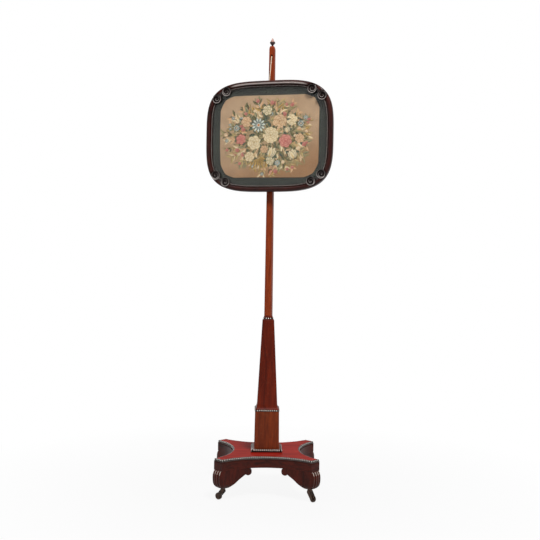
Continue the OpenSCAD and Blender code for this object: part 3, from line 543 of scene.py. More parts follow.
# carved feet: a swelling block with rounded lobes on its face
footSet = {"low": 40.0, "high": 98.0, "mid": 76.0, "bulge": 10.5, "full": 2.6, "lobes": 4, "depth": 3.4, "block": 53.0,
           "stemU": 195.16, "stemR": 8.5, "rise": 15.0, "rings": 30, "lobeSteps": 9, "sideSteps": 9, "crown": 6.0,
           "slack": 0.05, "step": 0.4}
footCorners = {"fl": 225, "fr": 315, "rr": 45, "rl": 135}


def prongHalf(u):
    c = hollowC / sqrt(2)
    return c - sqrt(hollowR ** 2 - (u - c) ** 2)


def footRing(z):
    f = footSet
    under = max(0.0, 1 - abs((z - f["mid"]) / (f["mid"] - f["low"] + 1)) ** f["full"])
    over = max(0.0, 1 - ((z - f["mid"]) / (f["high"] - f["mid"] + f["step"])) ** 2)
    swell = under ** (1 / f["full"])
    if z < f["mid"]:
        front = f["stemU"] + (cornerU + f["bulge"] - f["stemU"]) * swell
        ridge = min(1.0, swell + 0.15)
        narrow = min(1.0, 0.35 + 0.75 * swell)
    else:
        front = cornerU - f["step"] + (f["bulge"] + f["step"]) * sqrt(over)
        ridge = min(1.0, (front - cornerU + 6) / 10)
        narrow = 1.0
    backStart = cornerU - f["block"]
    back = backStart + (f["stemU"] - f["stemR"] - backStart) * max(0.0, 1 - (z - f["low"]) / f["rise"])
    sideEndU = min(cornerU, front) - f["depth"]
    half = prongHalf(sideEndU) * narrow - f["slack"]
    side = []
    for i in range(f["sideSteps"] + 1):
        u = back + (sideEndU - back) * i / f["sideSteps"]
        side.append((u, -(prongHalf(u) * narrow - f["slack"])))
    top = max(0.0, 1 - abs(f["high"] - f["crown"] - z) / f["crown"])  # painted highlight, brightest where the reeds begin
    face = []
    count = f["lobes"] * f["lobeSteps"]
    for i in range(1, count):
        share = i / count
        wave = abs(sin(pi * f["lobes"] * share)) ** 0.6
        u = front - f["depth"] * max(0.0, ridge) * (1 - wave) - f["depth"] * (2 * share - 1) ** 2
        # the third value is the painted highlight along each reed's crest
        face.append((u, half * (2 * share - 1), wave ** 6 * min(1.0, 0.56 + 1.5 * top)))
    return [(u, v, 0.0) for u, v in side] + face + [(u, -v, 0.0) for u, v in reversed(side)]


def makeFeet():
    f = footSet
    tall = f["high"] - f["slack"] - f["low"]
    levels = [f["low"] + tall * (1 - cos(pi * i / (f["rings"] - 1))) / 2 for i in range(f["rings"])]
    rings = [footRing(z) for z in levels]
    for corner, angle in footCorners.items():
        c, s = cos(radians(angle)), sin(radians(angle))

        def place(k, i):
            u, v = rings[k][i][:2]
            return (u * c - v * s) * mm, (u * s + v * c) * mm, levels[k] * mm

        bm = bmesh.new()
        sweepStrip(bm, len(rings[0]), len(levels), place, "drum", lambda k, i: rings[k][i][2])
        finishMesh(bm, "foot." + corner, "footWood", "stand", "foot_" + corner, sharpAngle=50)
        for body, node, name, skin, slot, bevel in (
                ("stand", "brackets_", "brackets.", "footWood", "carved_wood", 0.8),
                ("caster_" + corner, "caster_fork_", "casterFork.", "bronze", "bronze", 0.4),
                ("wheel_" + corner, "caster_wheel_", "casterWheel.", "bronze", "bronze", 0.6)):
            easedCopies(body, (node + corner, name + corner, skin, slot, bevel))
    easedCopies("stand", ("caster_sockets", "casterSockets", "bronze", "bronze", 0.4))
    print("feet and casters built")


makeFeet()

# column: a row of beads on each moulding, with its outer and core width, bead width, height and beads to a side
columnSet = {"plinth": (103.0, 93.9, 7.0, 137.0, 15), "die": (83.0, 74.68, 6.4, 266.0, 12),
             "cap": (34.5, 27.35, 5.5, 568.9, 5), "plinthStrip": 134.02}


def beadSquare(part, lowStrip=None):
    outer, core, d, z, count = columnSet[part]
    r = d / 2
    mid = outer / 2 - r
    inside = core / 2 - 0.2
    if lowStrip:
        foot = [(inside, lowStrip), (outer / 2 - 0.3, lowStrip + 0.02), (outer / 2 - 0.05, lowStrip + 0.7),
                (outer / 2 - 0.4, z - 0.2), (mid, z + 0.4)]
    else:
        foot = [(inside, z), (mid, z + 0.25)]
    section = foot + [(mid + r * 0.25, z + r), (mid, z + d - 0.25), (inside, z + d)]
    corners = [(1, -1), (1, 1), (-1, 1), (-1, -1)]

    def place(k, i):
        half, height = section[k]
        return corners[i][0] * half * mm, corners[i][1] * half * mm, height * mm

    bm = bmesh.new()
    sweepStrip(bm, 4, len(section), place, "ring")
    step = 2 * mid / (count - 1)
    for quarter in range(4):
        for i in range(count - 1):
            x, y = quarterTurn(-mid + i * step, -mid, quarter)
            a = quarter * pi / 2 - (pi / 4 if i == 0 else 0)  # the first bead stands on the corner
            # each bead gets a painted highlight on its front
            addBead(bm, (x * mm, y * mm, (z + r) * mm), r * mm, Vector((sin(a), -cos(a), 0)))
    finishMesh(bm, part + "Beading", "beadWood", "stand", part + "_beading", sharpAngle=60)


def makeColumn():
    beadSquare("plinth", columnSet["plinthStrip"])
    beadSquare("die")
    beadSquare("cap")
    easedCopies("stand", ("column_plinth", "columnPlinth", "plinthWood", "mahogany", 0.4),
                ("column_die", "columnDie", "dieWood", "mahogany", 0.6),
                ("column_shaft", "columnShaft", "shaftWood", "mahogany", 0.6),
                ("column_cap", "columnCap", "shaftWood", "mahogany", 0.5),
                ("column_screws", "columnScrews", "steel", "steel", 0.3))
    print("column built")


makeColumn()

# pole with its finial, sheave and weight; the profile has radius and height as shares
finialSet = {"z": 1477.7, "height": 26.9, "radius": 9.45, "steps": 40, "brightFrom": 0.44,
             "profile": [(0, 0), (0.46, 0.0), (0.44, 0.02), (0.28, 0.04), (0.25, 0.065), (0.34, 0.085), (0.35, 0.11),
                         (0.33, 0.125), (0.45, 0.165), (0.68, 0.26), (0.88, 0.345), (0.97, 0.395), (1.0, 0.425),
                         (0.96, 0.46), (0.84, 0.52), (0.64, 0.625), (0.47, 0.73), (0.35, 0.82), (0.26, 0.89),
                         (0.21, 0.93), (0.14, 0.97), (0.06, 0.993), (0, 1)]}


def makeFinial():
    f = finialSet
    bm = bmesh.new()
    verts = [bm.verts.new((x * f["radius"] * mm, 0, (f["z"] + y * f["height"]) * mm)) for x, y in f["profile"]]
    edges = [bm.edges.new(pair) for pair in zip(verts, verts[1:])]
    bmesh.ops.spin(bm, geom=verts + edges, cent=(0, 0, 0), axis=(0, 0, 1), angle=2 * pi, steps=f["steps"],
                   use_merge=True)
    bmesh.ops.remove_doubles(bm, verts=bm.verts, dist=1e-6)
    paintedHighlight = bm.verts.layers.float.new("paintedHighlight")
    for vert in bm.verts:  # a highlight painted pale above its widest part
        share = (vert.co.z / mm - f["z"]) / f["height"]
        vert[paintedHighlight] = min(1.0, max(0.0, share - f["brightFrom"]) * 8)
    finishMesh(bm, "turnedFinial", "finialWood", "pole", "finial", sharpAngle=60)


def makePole():
    easedCopies("pole", ("pole", "tallPole", "poleWood", "mahogany", 0.5),
                ("pole_slip", "poleSlip", "poleWood", "mahogany", 0.2),
                ("sheave_pin", "sheavePin", "steel", "steel", 0.2))
    easedCopies("sheave", ("sheave", "cordSheave", "brass", "brass", 0.2))
    easedCopies("weight", ("counterweight", "hangingWeight", "iron", "iron", 0.6))
    makeFinial()
    print("pole built")


makePole()

# screen frame: a swept moulding with rounded corners, in four jointed pieces
# the upper rail has a painted highlight along the crest of its roll, given by steps of the section
screenSet = {"halfA": 215.5, "halfB": 183.0, "square": 3.7, "centreZ": 1174.0, "backY": -19.7464, "depth": 22.0,
             "roll": 7.25, "hollow": 1.75, "width": 20.5, "rebateU": 12.5, "rebateD": 11.02, "railHalf": 110.0,
             "seat": 13.0, "seatGap": 0.2, "seatSlope": 2.0, "ease": 0.3, "joint": 0.0004, "railSteps": 40,
             "stileSteps": 220, "crest": {10: 0.6, 11: 0.92, 12: 0.97, 13: 0.78, 14: 0.4}, "crestFrom": 0.74,
             "crestFade": 0.1}


def rim(angle, inset):
    a, b, n = screenSet["halfA"], screenSet["halfB"], screenSet["square"]
    r = ((abs(cos(angle)) / a) ** n + (abs(sin(angle)) / b) ** n) ** (-1 / n)
    x, z = r * cos(angle), r * sin(angle)
    gx = (abs(x) / a) ** (n - 1) / a * (1 if x >= 0 else -1)
    gz = (abs(z) / b) ** (n - 1) / b * (1 if z >= 0 else -1)
    g = hypot(gx, gz)
    return x - inset * gx / g, z - inset * gz / g


def facePoint(x, z, forward):
    return onScreen(x, screenSet["backY"] - forward, screenSet["centreZ"] + z)


# corner scrolls: a spiral roll on a low disc, two at each corner; lift is the roll's height over the base
scrollSet = {"radius": 15.0, "angles": (35.4, 47.6), "insets": (16.2, 18.6), "turns": 2.15, "band": 2.1, "base": 17.5,
             "sunk": 2.2, "lift": 4.5, "drop": 0.6, "taper": 0.5, "ringInset": (1.0, 1.8), "heart": 2.2, "steps": 96,
             "sides": 11, "bright": 0.78, "brighterBelow": 0.22, "discSteps": 40, "beadD": 4.2, "beadPitch": 4.7,
             "beadInset": 18.3, "beadRise": 0.55, "beadGap": 1.2, "beadBright": 0.86}
scrollPlaces = [rim(radians(a), i) for a, i in zip(scrollSet["angles"], scrollSet["insets"])]


def scrollGap(x, z):
    return min(hypot(abs(x) - px, abs(z) - pz) for px, pz in scrollPlaces) - scrollSet["radius"]


# the frame's roll dives into a round seat under each scroll
def framePoint(angle, inset, forward):
    x, z = rim(angle, inset)
    low = screenSet["seat"] + screenSet["ease"]
    if forward > low:
        clear = (scrollGap(x, z) - screenSet["seatGap"]) / screenSet["seatSlope"]
        forward = low + (forward - low) * min(1.0, max(0.0, clear))
    return facePoint(x, z, forward)


def arcPoints(cx, cy, r, first, last, steps):
    angles = [radians(first + (last - first) * i / steps) for i in range(steps + 1)]
    return [(cx + r * cos(a), cy + r * sin(a)) for a in angles]


def makeFrame():
    f = screenSet
    rollTop = f["depth"] - f["roll"]
    section = ([(0.6, 0.0), (0.0, 0.6), (0.0, 8.0)] + arcPoints(f["roll"], rollTop, f["roll"], 180, 0, 14)
               + arcPoints(2 * f["roll"] + f["hollow"], rollTop, f["hollow"], 190, 270, 6)
               + [(f["width"] - f["ease"], f["seat"]), (f["width"], f["seat"] - f["ease"]), (f["width"], f["rebateD"]),
                  (f["rebateU"], f["rebateD"]), (f["rebateU"], 0.0)])
    railZ = f["halfB"] * (1 - (f["railHalf"] / f["halfA"]) ** f["square"]) ** (1 / f["square"])
    end = atan2(railZ, f["railHalf"])
    for name, node, first, last, steps in (
            ("frameTopRail", "frame_top_rail", end, pi - end, f["railSteps"]),
            ("frameLeftStile", "frame_left_stile", pi - end, pi + end, f["stileSteps"]),
            ("frameBottomRail", "frame_bottom_rail", pi + end, 2 * pi - end, f["railSteps"]),
            ("frameRightStile", "frame_right_stile", -end, end, f["stileSteps"])):
        angles = [first + f["joint"] + (last - first - 2 * f["joint"]) * i / steps for i in range(steps + 1)]

        # painted highlight on the roll's crest, on the upper rail only
        def crestHighlight(k, i):
            return f["crest"].get(k, 0.0) * min(1.0, max(0.0, (sin(angles[i]) - f["crestFrom"]) / f["crestFade"]))

        bm = bmesh.new()
        sweepStrip(bm, len(angles), len(section), lambda k, i: framePoint(angles[i], *section[k]), "rod", crestHighlight)
        finishMesh(bm, name, "frameWood", "screen", node, sharpAngle=35)


makeFrame()


def addScroll(bm, cx, cz, startAngle, hand):
    f = scrollSet
    steps, sides = f["steps"], f["sides"]
    outer, inner = (f["radius"] - inset for inset in f["ringInset"])  # a full ring first, then the curl

    def spot(r, angle, forward):
        return facePoint(cx + r * cos(angle), cz + r * sin(angle), forward)

    def wayRound(i):
        return startAngle + hand * f["turns"] * 2 * pi * i / (steps - 1)

    def place(k, i):
        t = i / (steps - 1)
        turn = f["turns"] * t
        curl = (max(0.0, turn - 1) / (f["turns"] - 1)) ** 0.7
        r = outer + (inner - outer) * min(turn, 1) + (f["heart"] - inner) * curl
        a = pi * k / (sides - 1)
        height = f["base"] - f["sunk"] + (f["sunk"] + (f["lift"] - f["drop"] * t)) * sin(a) ** 0.7
        return spot(r + f["band"] * (1 - f["taper"] * t) * cos(a), wayRound(i), height)

    # painted highlight along the roll's crest, brighter on its lower side
    def crestHighlight(k, i):
        return sin(pi * k / (sides - 1)) ** 3 * (f["bright"] - f["brighterBelow"] * sin(wayRound(i)))

    sweepStrip(bm, steps, sides, place, "rod", crestHighlight)
    disc = [(f["radius"] - 0.2, screenSet["seat"] + 0.05), (f["radius"] - 0.2, f["base"] - 1.6),
            (f["radius"] - 1.6, f["base"] - 0.4), (2.8, f["base"] - 1.4), (2.6, f["base"] + 2.4),
            (1.6, f["base"] + 3.9)]
    sweepStrip(bm, f["discSteps"], len(disc),
               lambda k, i: spot(disc[k][0], 2 * pi * i / f["discSteps"], disc[k][1]), "drum")


# small leaves that fill the gap between the scrolls and the frame's outer roll, each with its tilt and length
huskSet = {"leaves": ((-26, 11.0), (0, 14.5), (26, 11.0)), "half": 3.0, "start": 2.0, "base": 17.0, "steps": 10,
           "sides": 6, "bright": 0.55}


def addHusk(bm, sx, sz):
    f = huskSet
    (ax, az), (bx, bz) = scrollPlaces
    midX, midZ = (ax + bx) / 2, (az + bz) / 2
    out = Vector((bz - az, 0, ax - bx)).normalized()
    out = -out if out.x < 0 else out
    side = Vector((ax - bx, 0, az - bz)).normalized()
    for tilt, length in f["leaves"]:
        c, s = cos(radians(tilt)), sin(radians(tilt))
        d = out * c + side * s
        e = side * c - out * s

        def place(k, i):
            t = i / f["steps"]
            half = f["half"] * sin(pi * min(1.0, 0.12 + 0.88 * t)) ** 0.8 + 0.05
            a = pi * k / f["sides"]
            p = d * (f["start"] + length * t) + e * (half * cos(a))
            lift = f["base"] + (2.6 + 2.2 * sin(pi * t)) * sin(a)
            return facePoint(sx * (midX + p.x), sz * (midZ + p.z), lift)

        # painted highlight along each leaf's middle
        sweepStrip(bm, f["steps"] + 1, f["sides"] + 1, place, "rod",
                   lambda k, i: f["bright"] * sin(pi * k / f["sides"]) ** 2)


def makeScrolls():
    for name, sx, sz in (("tl", -1, 1), ("tr", 1, 1), ("br", 1, -1), ("bl", -1, -1)):
        bm = bmesh.new()
        for hand, (x, z) in zip((1, -1), scrollPlaces):
            addScroll(bm, sx * x, sz * z, atan2(sz * z, sx * x), hand * sx * sz)
        addHusk(bm, sx, sz)
        finishMesh(bm, "scrolls." + name, "scrollWood", "screen", "scrolls_" + name, sharpAngle=50)
    print("frame and scrolls built")


makeScrolls()


# fine pearls along the frame's sight edge, each with a painted highlight on its front
def makePearls():
    f = scrollSet
    r = f["beadD"] / 2
    bm = bmesh.new()
    fineSteps = 4000
    fine = [rim(2 * pi * i / fineSteps, f["beadInset"]) for i in range(fineSteps + 1)]
    travelled = [0.0]
    for (ax, az), (bx, bz) in zip(fine, fine[1:]):
        travelled.append(travelled[-1] + hypot(bx - ax, bz - az))
    count = round(travelled[-1] / f["beadPitch"])
    at = 0
    for i in range(count):
        want = travelled[-1] * i / count
        while travelled[at + 1] < want:
            at += 1
        x, z = fine[at]
        if scrollGap(x, z) > f["beadGap"]:
            addBead(bm, facePoint(x, z, screenSet["seat"] + r * f["beadRise"]), r * mm, screenFront, f["beadBright"])
    finishMesh(bm, "sightPearls", "beadWood", "screen", "sight_beading", sharpAngle=80)
    print("pearls set:", count)


makePearls()

# cloth ground: dark pile stretched over the backboard, with a seam above and below
groundSet = {"inset": 13.0, "depth": 6.5, "rings": 30, "steps": 160, "seamX": 12, "seamHalf": 1.4, "seamDepth": 0.35,
             "seamFrom": 120, "dark": "0e110c", "light": "21261d", "sheen": "6a7468"}


def makeGroundSkin():
    material, tree, shader = startMaterial("darkPile")
    vector = objectVector(tree)
    cloud = spread(tree, noise(tree, vector, 22.0, 4.0, 0.6), 0.3, 0.7)
    pile = noise(tree, vector, 900.0, 2.0)
    fillInputs(tree, shader, {
        "Base Color": mixColour(tree, cloud, tint(groundSet["dark"]), tint(groundSet["light"])), "Roughness": 0.95,
        "Sheen Weight": 0.2, "Sheen Roughness": 0.4, "Sheen Tint": tint(groundSet["sheen"]),
        "Normal": bumped(tree, pile, 0.35, 0.0005)})
    return material


def makeGround():
    g = groundSet
    bm = bmesh.new()

    def place(k, i):
        share = 1 - k / g["rings"] * 0.999
        angle = 2 * pi * i / g["steps"]
        x, z = (v * share for v in rim(angle, g["inset"]))
        seam = g["seamDepth"] * max(0.0, 1 - abs(x - g["seamX"]) / g["seamHalf"]) if abs(z) > g["seamFrom"] else 0.0
        ripple = 0.12 * sin(9 * angle + 3) * sin(14 * share) + 0.08 * sin(23 * angle)
        return facePoint(x, z, g["depth"] + ripple - seam)

    rings = sweepStrip(bm, g["steps"], g["rings"] + 1, place, "sheet")
    bmesh.ops.pointmerge(bm, verts=rings[-1], merge_co=facePoint(0, 0, g["depth"]))
    area = sum(face.calc_area() for face in bm.faces)
    skins["darkPile"] = makeGroundSkin()
    piece = finishMesh(bm, "clothGround", "darkPile", "screen", "cloth_ground", sharpAngle=180)
    print("cloth ground stretched, area", round(area, 4))


makeGround()

# needlework: a bouquet in wool on a tan ground, painted into the mesh as a colour attribute
needleSet = {"width": 340.0, "height": 274.0, "columns": 300, "rows": 242, "depth": 7.75, "stitch": 1.15, "seed": 41,
             "cornerFrom": (0.72, 0.66), "cornerPull": 0.095, "lowerFrom": 0.35, "lowerPull": 0.02,
             "shrink": (0.992, 0.99), "pucker": 0.12, "raise": 0.35}
wool = {"ground": "d3b08f", "groundDark": "bb9671", "amber": "a9774a", "cream": "ffedc6", "creamShade": "d2ac74",
        "gold": "dfb460", "peach": "f2cda2", "peachShade": "c48c60", "red": "bf5148", "redShade": "742a27",
        "pink": "e59b8c", "ice": "e8eee2", "blue": "5a8092", "blueShade": "1f3a48", "leaf": "7f7645",
        "leafDark": "2e3123", "leafTeal": "54664f", "sage": "b9a878", "straw": "d8bc82", "brown": "644a2b",
        "orange": "e28c48", "peachMid": "d69c68", "creamMid": "e6c78e", "pinkMid": "bd574f", "khaki": "a48b58",
        "umber": "8a6534"}


# a mask that is full inside an edge and fades out over a short width
def soft(inside, width=0.8):
    return np.clip(inside / width, 0, 1)


def within(mask):
    return np.clip(mask, 0, 1)


class Stitcher:
    def __init__(self, x, z):
        self.x, self.z = x, z
        self.colour = np.zeros((len(x), 3))
        self.lift = np.zeros(len(x))
        self.hue = {key: np.array(tint(value)[:3])[None, :] for key, value in wool.items()}

    def lay(self, mask, colour, lift=0.0):
        mask = within(mask)[:, None]
        self.colour = self.colour * (1 - mask) + self.hue[colour] * mask
        self.lift = np.maximum(self.lift, lift * mask[:, 0])

    def polar(self, cx, cz, squash=1.0):
        dx, dz = self.x - cx, (self.z - cz) / squash
        return np.hypot(dx, dz), np.arctan2(dz, dx)

    # rings of petals, each ring outlined, darker towards the heart and on the lower right
    def layered(self, cx, cz, r, tones, counts, turn, squash=1.0):
        light, mid, dark = tones
        rho, theta = self.polar(cx, cz, squash)
        away = np.clip(0.1 + 0.6 * ((self.x - cx) * 0.6 - (self.z - cz) * 0.8) / r, 0, 0.6)
        for layer, count in enumerate(counts):
            share = 1 - layer / (len(counts) + 0.3)
            phase = count / 2 * (theta + turn + 1.1 * layer)
            edge = r * share * (0.74 + 0.26 * np.abs(np.cos(phase)) ** 0.6)
            self.lay(soft(edge - rho, 0.7), dark, 0.5 + 0.1 * layer)
            inner = soft(edge - 0.06 * r - rho)
            self.lay(inner, light)
            fold = within(np.abs(np.sin(phase)) * 1.3 - 0.6)
            self.lay(inner * within(away + 0.6 * fold + 0.35 * layer / len(counts)), mid)
            self.lay(inner * within(away - 0.25) * 0.8, dark)
        self.lay(soft(r * 0.12 - rho, 0.9), dark)

    # round petals that overlap, in rings towards the heart; each is deeper where the next ring covers it
    def rose(self, cx, cz, r, tones, rings, turn):
        light, mid, dark = tones
        for ring, (count, reach, size) in enumerate(rings):
            for i in range(count):
                a = turn + 2 * pi * i / count + 0.6 * ring
                dx, dz = self.x - cx - reach * r * cos(a), self.z - cz - reach * r * sin(a)
                rho = np.hypot(dx, dz)
                self.lay(soft(size * r - rho, 0.7), dark, 0.45 + 0.12 * ring)
                inner = soft(size * r - 1.1 - rho)
                self.lay(inner, light)
                deep = within(0.25 - (dx * cos(a) + dz * sin(a)) / (size * r))
                low = within((dx * 0.5 - dz * 0.8) / (size * r) - 0.2)
                self.lay(inner * within(deep + 0.4 * low) * 0.8, mid)
        self.lay(soft(r * 0.09 - np.hypot(self.x - cx, self.z - cz)), dark)

    # narrow open petals round a bright heart
    def aster(self, cx, cz, r, tones, heart, count, turn):
        light, mid, dark = tones
        rho, theta = self.polar(cx, cz)
        wave = np.cos(count * (theta + turn))
        edge = r * (0.86 + 0.14 * wave)
        self.lay(soft(edge - rho), dark, 0.5)
        petal = soft(edge - 1.4 - rho) * soft(wave + 0.55, 0.35)
        self.lay(petal, light)
        self.lay(petal * soft(r * 0.62 - rho, r * 0.2) * soft(wave - 0.35, 0.3), mid)
        self.lay(soft(r * 0.27 - rho, 0.9), light, 0.7)
        self.lay(soft(r * 0.19 - rho, 0.9), heart)

    def along(self, cx, cz, angle, length):
        c, s = cos(angle), sin(angle)
        t = ((self.x - cx) * c + (self.z - cz) * s) / length
        return t, -(self.x - cx) * s + (self.z - cz) * c, (t > 0) & (t < 1)

    # a pointed leaf, lit on one side of its rib
    def leaf(self, cx, cz, angle, length, width, tones):
        light, dark = tones
        t, across, inside = self.along(cx, cz, angle, length)
        across = across - width * 0.5 * np.sin(np.pi * t) * sin(3 * angle)
        half = width * np.sin(np.pi * within(t) ** 0.8) * (1 + 0.1 * np.sin(26 * t))
        body = np.where(inside, soft(half - np.abs(across)), 0)
        self.lay(body, dark, 0.2)
        lit = soft(half * 0.85 - across, 1.0) * soft(across + half * 0.2)
        self.lay(np.where(inside, lit, 0) * 0.95, light)
        self.lay(body * within(1 - np.abs(across + half * 0.55) / (width * 0.22)) * 0.55, light)

    # a broad petal with a dark outline and a streak up its middle
    def petal(self, cx, cz, angle, length, width, tones):
        light, mid, dark = tones
        t, across, inside = self.along(cx, cz, angle, length)
        half = width * np.sin(np.pi * within(t) ** 0.75) ** 0.8
        self.lay(np.where(inside, soft(half - np.abs(across), 0.7), 0), dark, 0.5)
        inner = np.where(inside, soft(half - 1.2 - np.abs(across)), 0)
        self.lay(inner, light)
        self.lay(inner * within(1 - np.abs(across) / (width * 0.45)) * within(1.3 - 1.6 * t), mid)

    def tulip(self, cx, cz, angle, r, tones):
        bx, bz = cx - r * cos(angle), cz - r * sin(angle)
        for off, length in ((-0.45, 1.75), (0.45, 1.75), (-0.16, 2.0), (0.2, 1.85)):
            self.petal(bx, bz, angle + off, r * length, r * 0.5, tones)

    def stem(self, points, width, colour):
        for (ax, az), (bx, bz) in zip(points, points[1:]):
            dx, dz = bx - ax, bz - az
            t = within(((self.x - ax) * dx + (self.z - az) * dz) / (dx * dx + dz * dz))
            gap = np.hypot(self.x - ax - t * dx, self.z - az - t * dz)
            self.lay(soft(width - gap), colour, 0.15)


# wools that go together, light to dark
paleLeaves = [("straw", "khaki"), ("sage", "leaf"), ("cream", "creamShade"), ("straw", "umber"), ("peach", "peachMid"),
              ("sage", "leafTeal"), ("gold", "umber")]
greenLeaves = [("leaf", "leafDark"), ("leafTeal", "leafDark"), ("sage", "leafDark"), ("leaf", "blueShade"),
               ("sage", "leafTeal")]
redBud = ("pink", "red", "redShade")
blueStar = ("ice", "blue", "blueShade")
budTones = [("peach", "pink", "red"), ("cream", "straw", "leaf"), ("cream", "peach", "peachShade")]
smallTones = [redBud, ("peach", "peachShade", "brown"), ("cream", "creamShade", "leaf"),
              ("cream", "peach", "peachShade")]
bloomTones = {"peach": ("peach", "peachMid", "peachShade"), "cream": ("cream", "creamMid", "creamShade"),
              "rose": ("pink", "pinkMid", "red"), "straw": ("cream", "straw", "leaf"),
              "ivory": ("cream", "creamMid", "creamShade"), "gold": ("cream", "gold", "brown"),
              "aster": ("ice", "leafTeal", "blueShade")}
# large flowers: place, radius and kind
blooms = [(-78, 50, 18, "peach"), (78, 52, 19, "cream"), (-96, -8, 17, "rose"), (104, -8, 16, "peach"),
          (-6, 86, 17, "straw"), (-66, -66, 17, "cream"), (80, -58, 18, "gold"), (6, -80, 16, "straw"),
          (36, 48, 24, "peach"), (-50, -20, 24, "cream"), (56, -16, 22, "rose"), (6, 4, 28, "ivory"),
          (-36, 38, 25, "aster"), (10, -50, 19, "gold"), (108, 40, 12, "aster"), (-112, 30, 12, "aster"),
          (-16, -42, 13, "peach"), (62, 22, 12, "gold"), (30, -88, 11, "aster")]
# rings of petals: how many, how far out and how large
fullRose = ((6, 0.56, 0.48), (5, 0.36, 0.4), (3, 0.15, 0.3))
ruffledRose = ((11, 0.7, 0.3), (9, 0.5, 0.32), (7, 0.32, 0.28), (4, 0.14, 0.22))


# how many of each there are, and how far they reach sideways and upwards from the middle
bouquetSet = {"sprays": 40, "sprayFrom": (70, 58), "sprayWide": (130, 157), "sprayTall": (104, 127), "sprayBend": 13,
              "leaves": 230, "leafReach": (108, 90), "leafLong": (20, 36), "leafHalf": (4, 7.5), "greenWithin": 0.7,
              "small": 34, "smallReach": (112, 92), "smallR": (7, 11), "budR": (6, 9), "tulipR": (7, 10),
              "fan": 10, "fanPlace": (-38, -64), "fanStart": -155, "fanStep": 15, "fanLong": (30, 44),
              "leavesBehind": 7}


def onOval(reach, a, share=1):
    return reach[0] * share * cos(a), reach[1] * share * sin(a)


# long sprays round the bouquet, some with a bud
def stitchSprays(work, rnd):
    b = bouquetSet
    for i in range(b["sprays"]):
        a = 2 * pi * i / b["sprays"] + rnd.uniform(-0.08, 0.08)
        reach = rnd.uniform(*b["sprayWide"]), rnd.uniform(*b["sprayTall"])
        x0, z0 = onOval(b["sprayFrom"], a)
        x1, z1 = onOval(reach, a)
        bend = rnd.uniform(-b["sprayBend"], b["sprayBend"])
        mid = ((x0 + x1) / 2 - bend * sin(a), (z0 + z1) / 2 + bend * cos(a))
        work.stem([(x0, z0), mid, (x1, z1)], 0.9, rnd.choice(["leafDark", "leaf", "brown"]))
        for t in (0.35, 0.5, 0.65, 0.8, 0.95):
            px, pz = x0 + (x1 - x0) * t, z0 + (z1 - z0) * t
            tones = rnd.choice(paleLeaves + greenLeaves[:1])
            for side in (-1, 1):
                angle = a + side * rnd.uniform(0.35, 0.95)
                work.leaf(px, pz, angle, rnd.uniform(17, 29), rnd.uniform(2.8, 5.2), tones)
        kind = rnd.random()
        if kind < 0.2:
            work.layered(x1, z1, rnd.uniform(*b["budR"]), redBud, (5, 4), rnd.random())
        elif kind < 0.34:
            work.aster(x1, z1, rnd.uniform(*b["budR"]), blueStar, "gold", 6, rnd.random())
        elif kind < 0.7:
            tones = rnd.choice(budTones)
            work.tulip(x1 * 0.96, z1 * 0.96, a, rnd.uniform(*b["tulipR"]), tones)


def stitchSmallFlowers(work, rnd):
    b = bouquetSet
    for i in range(b["small"]):
        a = 2 * pi * i / b["small"] + rnd.uniform(-0.1, 0.1)
        cx, cz = onOval(b["smallReach"], a, rnd.uniform(0.8, 1.12))
        r = rnd.uniform(*b["smallR"])
        if rnd.random() < 0.25:
            work.aster(cx, cz, r, blueStar, "gold", 7, rnd.random())
        else:
            tones = rnd.choice(smallTones)
            work.layered(cx, cz, r, tones, (6, 5), rnd.random(), rnd.uniform(0.8, 1.0))


def stitchBlooms(work, rnd):
    for cx, cz, r, kind in blooms:
        turn = rnd.random() * 2
        for i in range(bouquetSet["leavesBehind"]):  # dark leaves behind each bloom
            a = turn + 0.9 * i + rnd.uniform(-0.2, 0.2)
            tones = rnd.choice(greenLeaves)
            px, pz = cx + 0.55 * r * cos(a), cz + 0.55 * r * sin(a)
            work.leaf(px, pz, a, r * rnd.uniform(0.8, 1.15), rnd.uniform(4, 6), tones)
        tones = bloomTones[kind]
        if kind == "aster":
            work.aster(cx, cz, r, tones, "orange", 11, turn)
        elif kind == "gold":
            work.tulip(cx, cz, turn, r, tones)
        else:
            work.rose(cx, cz, r, tones, ruffledRose if kind == "ivory" else fullRose, turn)


def stitchBouquet(x, z):
    b = bouquetSet
    rnd = random.Random(needleSet["seed"])
    work = Stitcher(x, z)
    fleck = 0.5 + 0.25 * np.sin(x * 0.045 + 1.3) * np.cos(z * 0.06) + 0.25 * np.sin(x * 0.021 - z * 0.034)
    work.colour[:] = work.hue["groundDark"]
    work.lay(0.35 + 0.6 * fleck, "ground")
    work.lay(np.clip((x * 0.3 - z - 5) / 150, 0, 0.85), "amber")
    fromMiddle = np.hypot(x / 120, z / 98)  # shadowy foliage under the flowers
    work.lay(soft(1.05 - fromMiddle, 0.3) * (0.45 + 0.2 * np.sin(x * 0.31) * np.sin(z * 0.27 + x * 0.1)), "khaki")
    stitchSprays(work, rnd)
    for i in range(b["leaves"]):
        a, d = rnd.uniform(0, 2 * pi), sqrt(rnd.random())
        tones = rnd.choice(greenLeaves + paleLeaves[:5] if d < b["greenWithin"] else paleLeaves + greenLeaves[:1])
        angle = a + rnd.uniform(-0.9, 0.9)
        work.leaf(*onOval(b["leafReach"], a, d), angle, rnd.uniform(*b["leafLong"]), rnd.uniform(*b["leafHalf"]), tones)
    stitchSmallFlowers(work, rnd)
    for i in range(b["fan"]):  # a fan of golden leaves low on the left
        a = radians(b["fanStart"] + b["fanStep"] * i)
        px, pz = b["fanPlace"][0] + 9 * cos(a), b["fanPlace"][1] + 9 * sin(a)
        tones = ("gold", "umber" if i % 2 else "brown")
        work.leaf(px, pz, a, rnd.uniform(*b["fanLong"]), rnd.uniform(4.2, 5.4), tones)
    stitchBlooms(work, rnd)
    return work


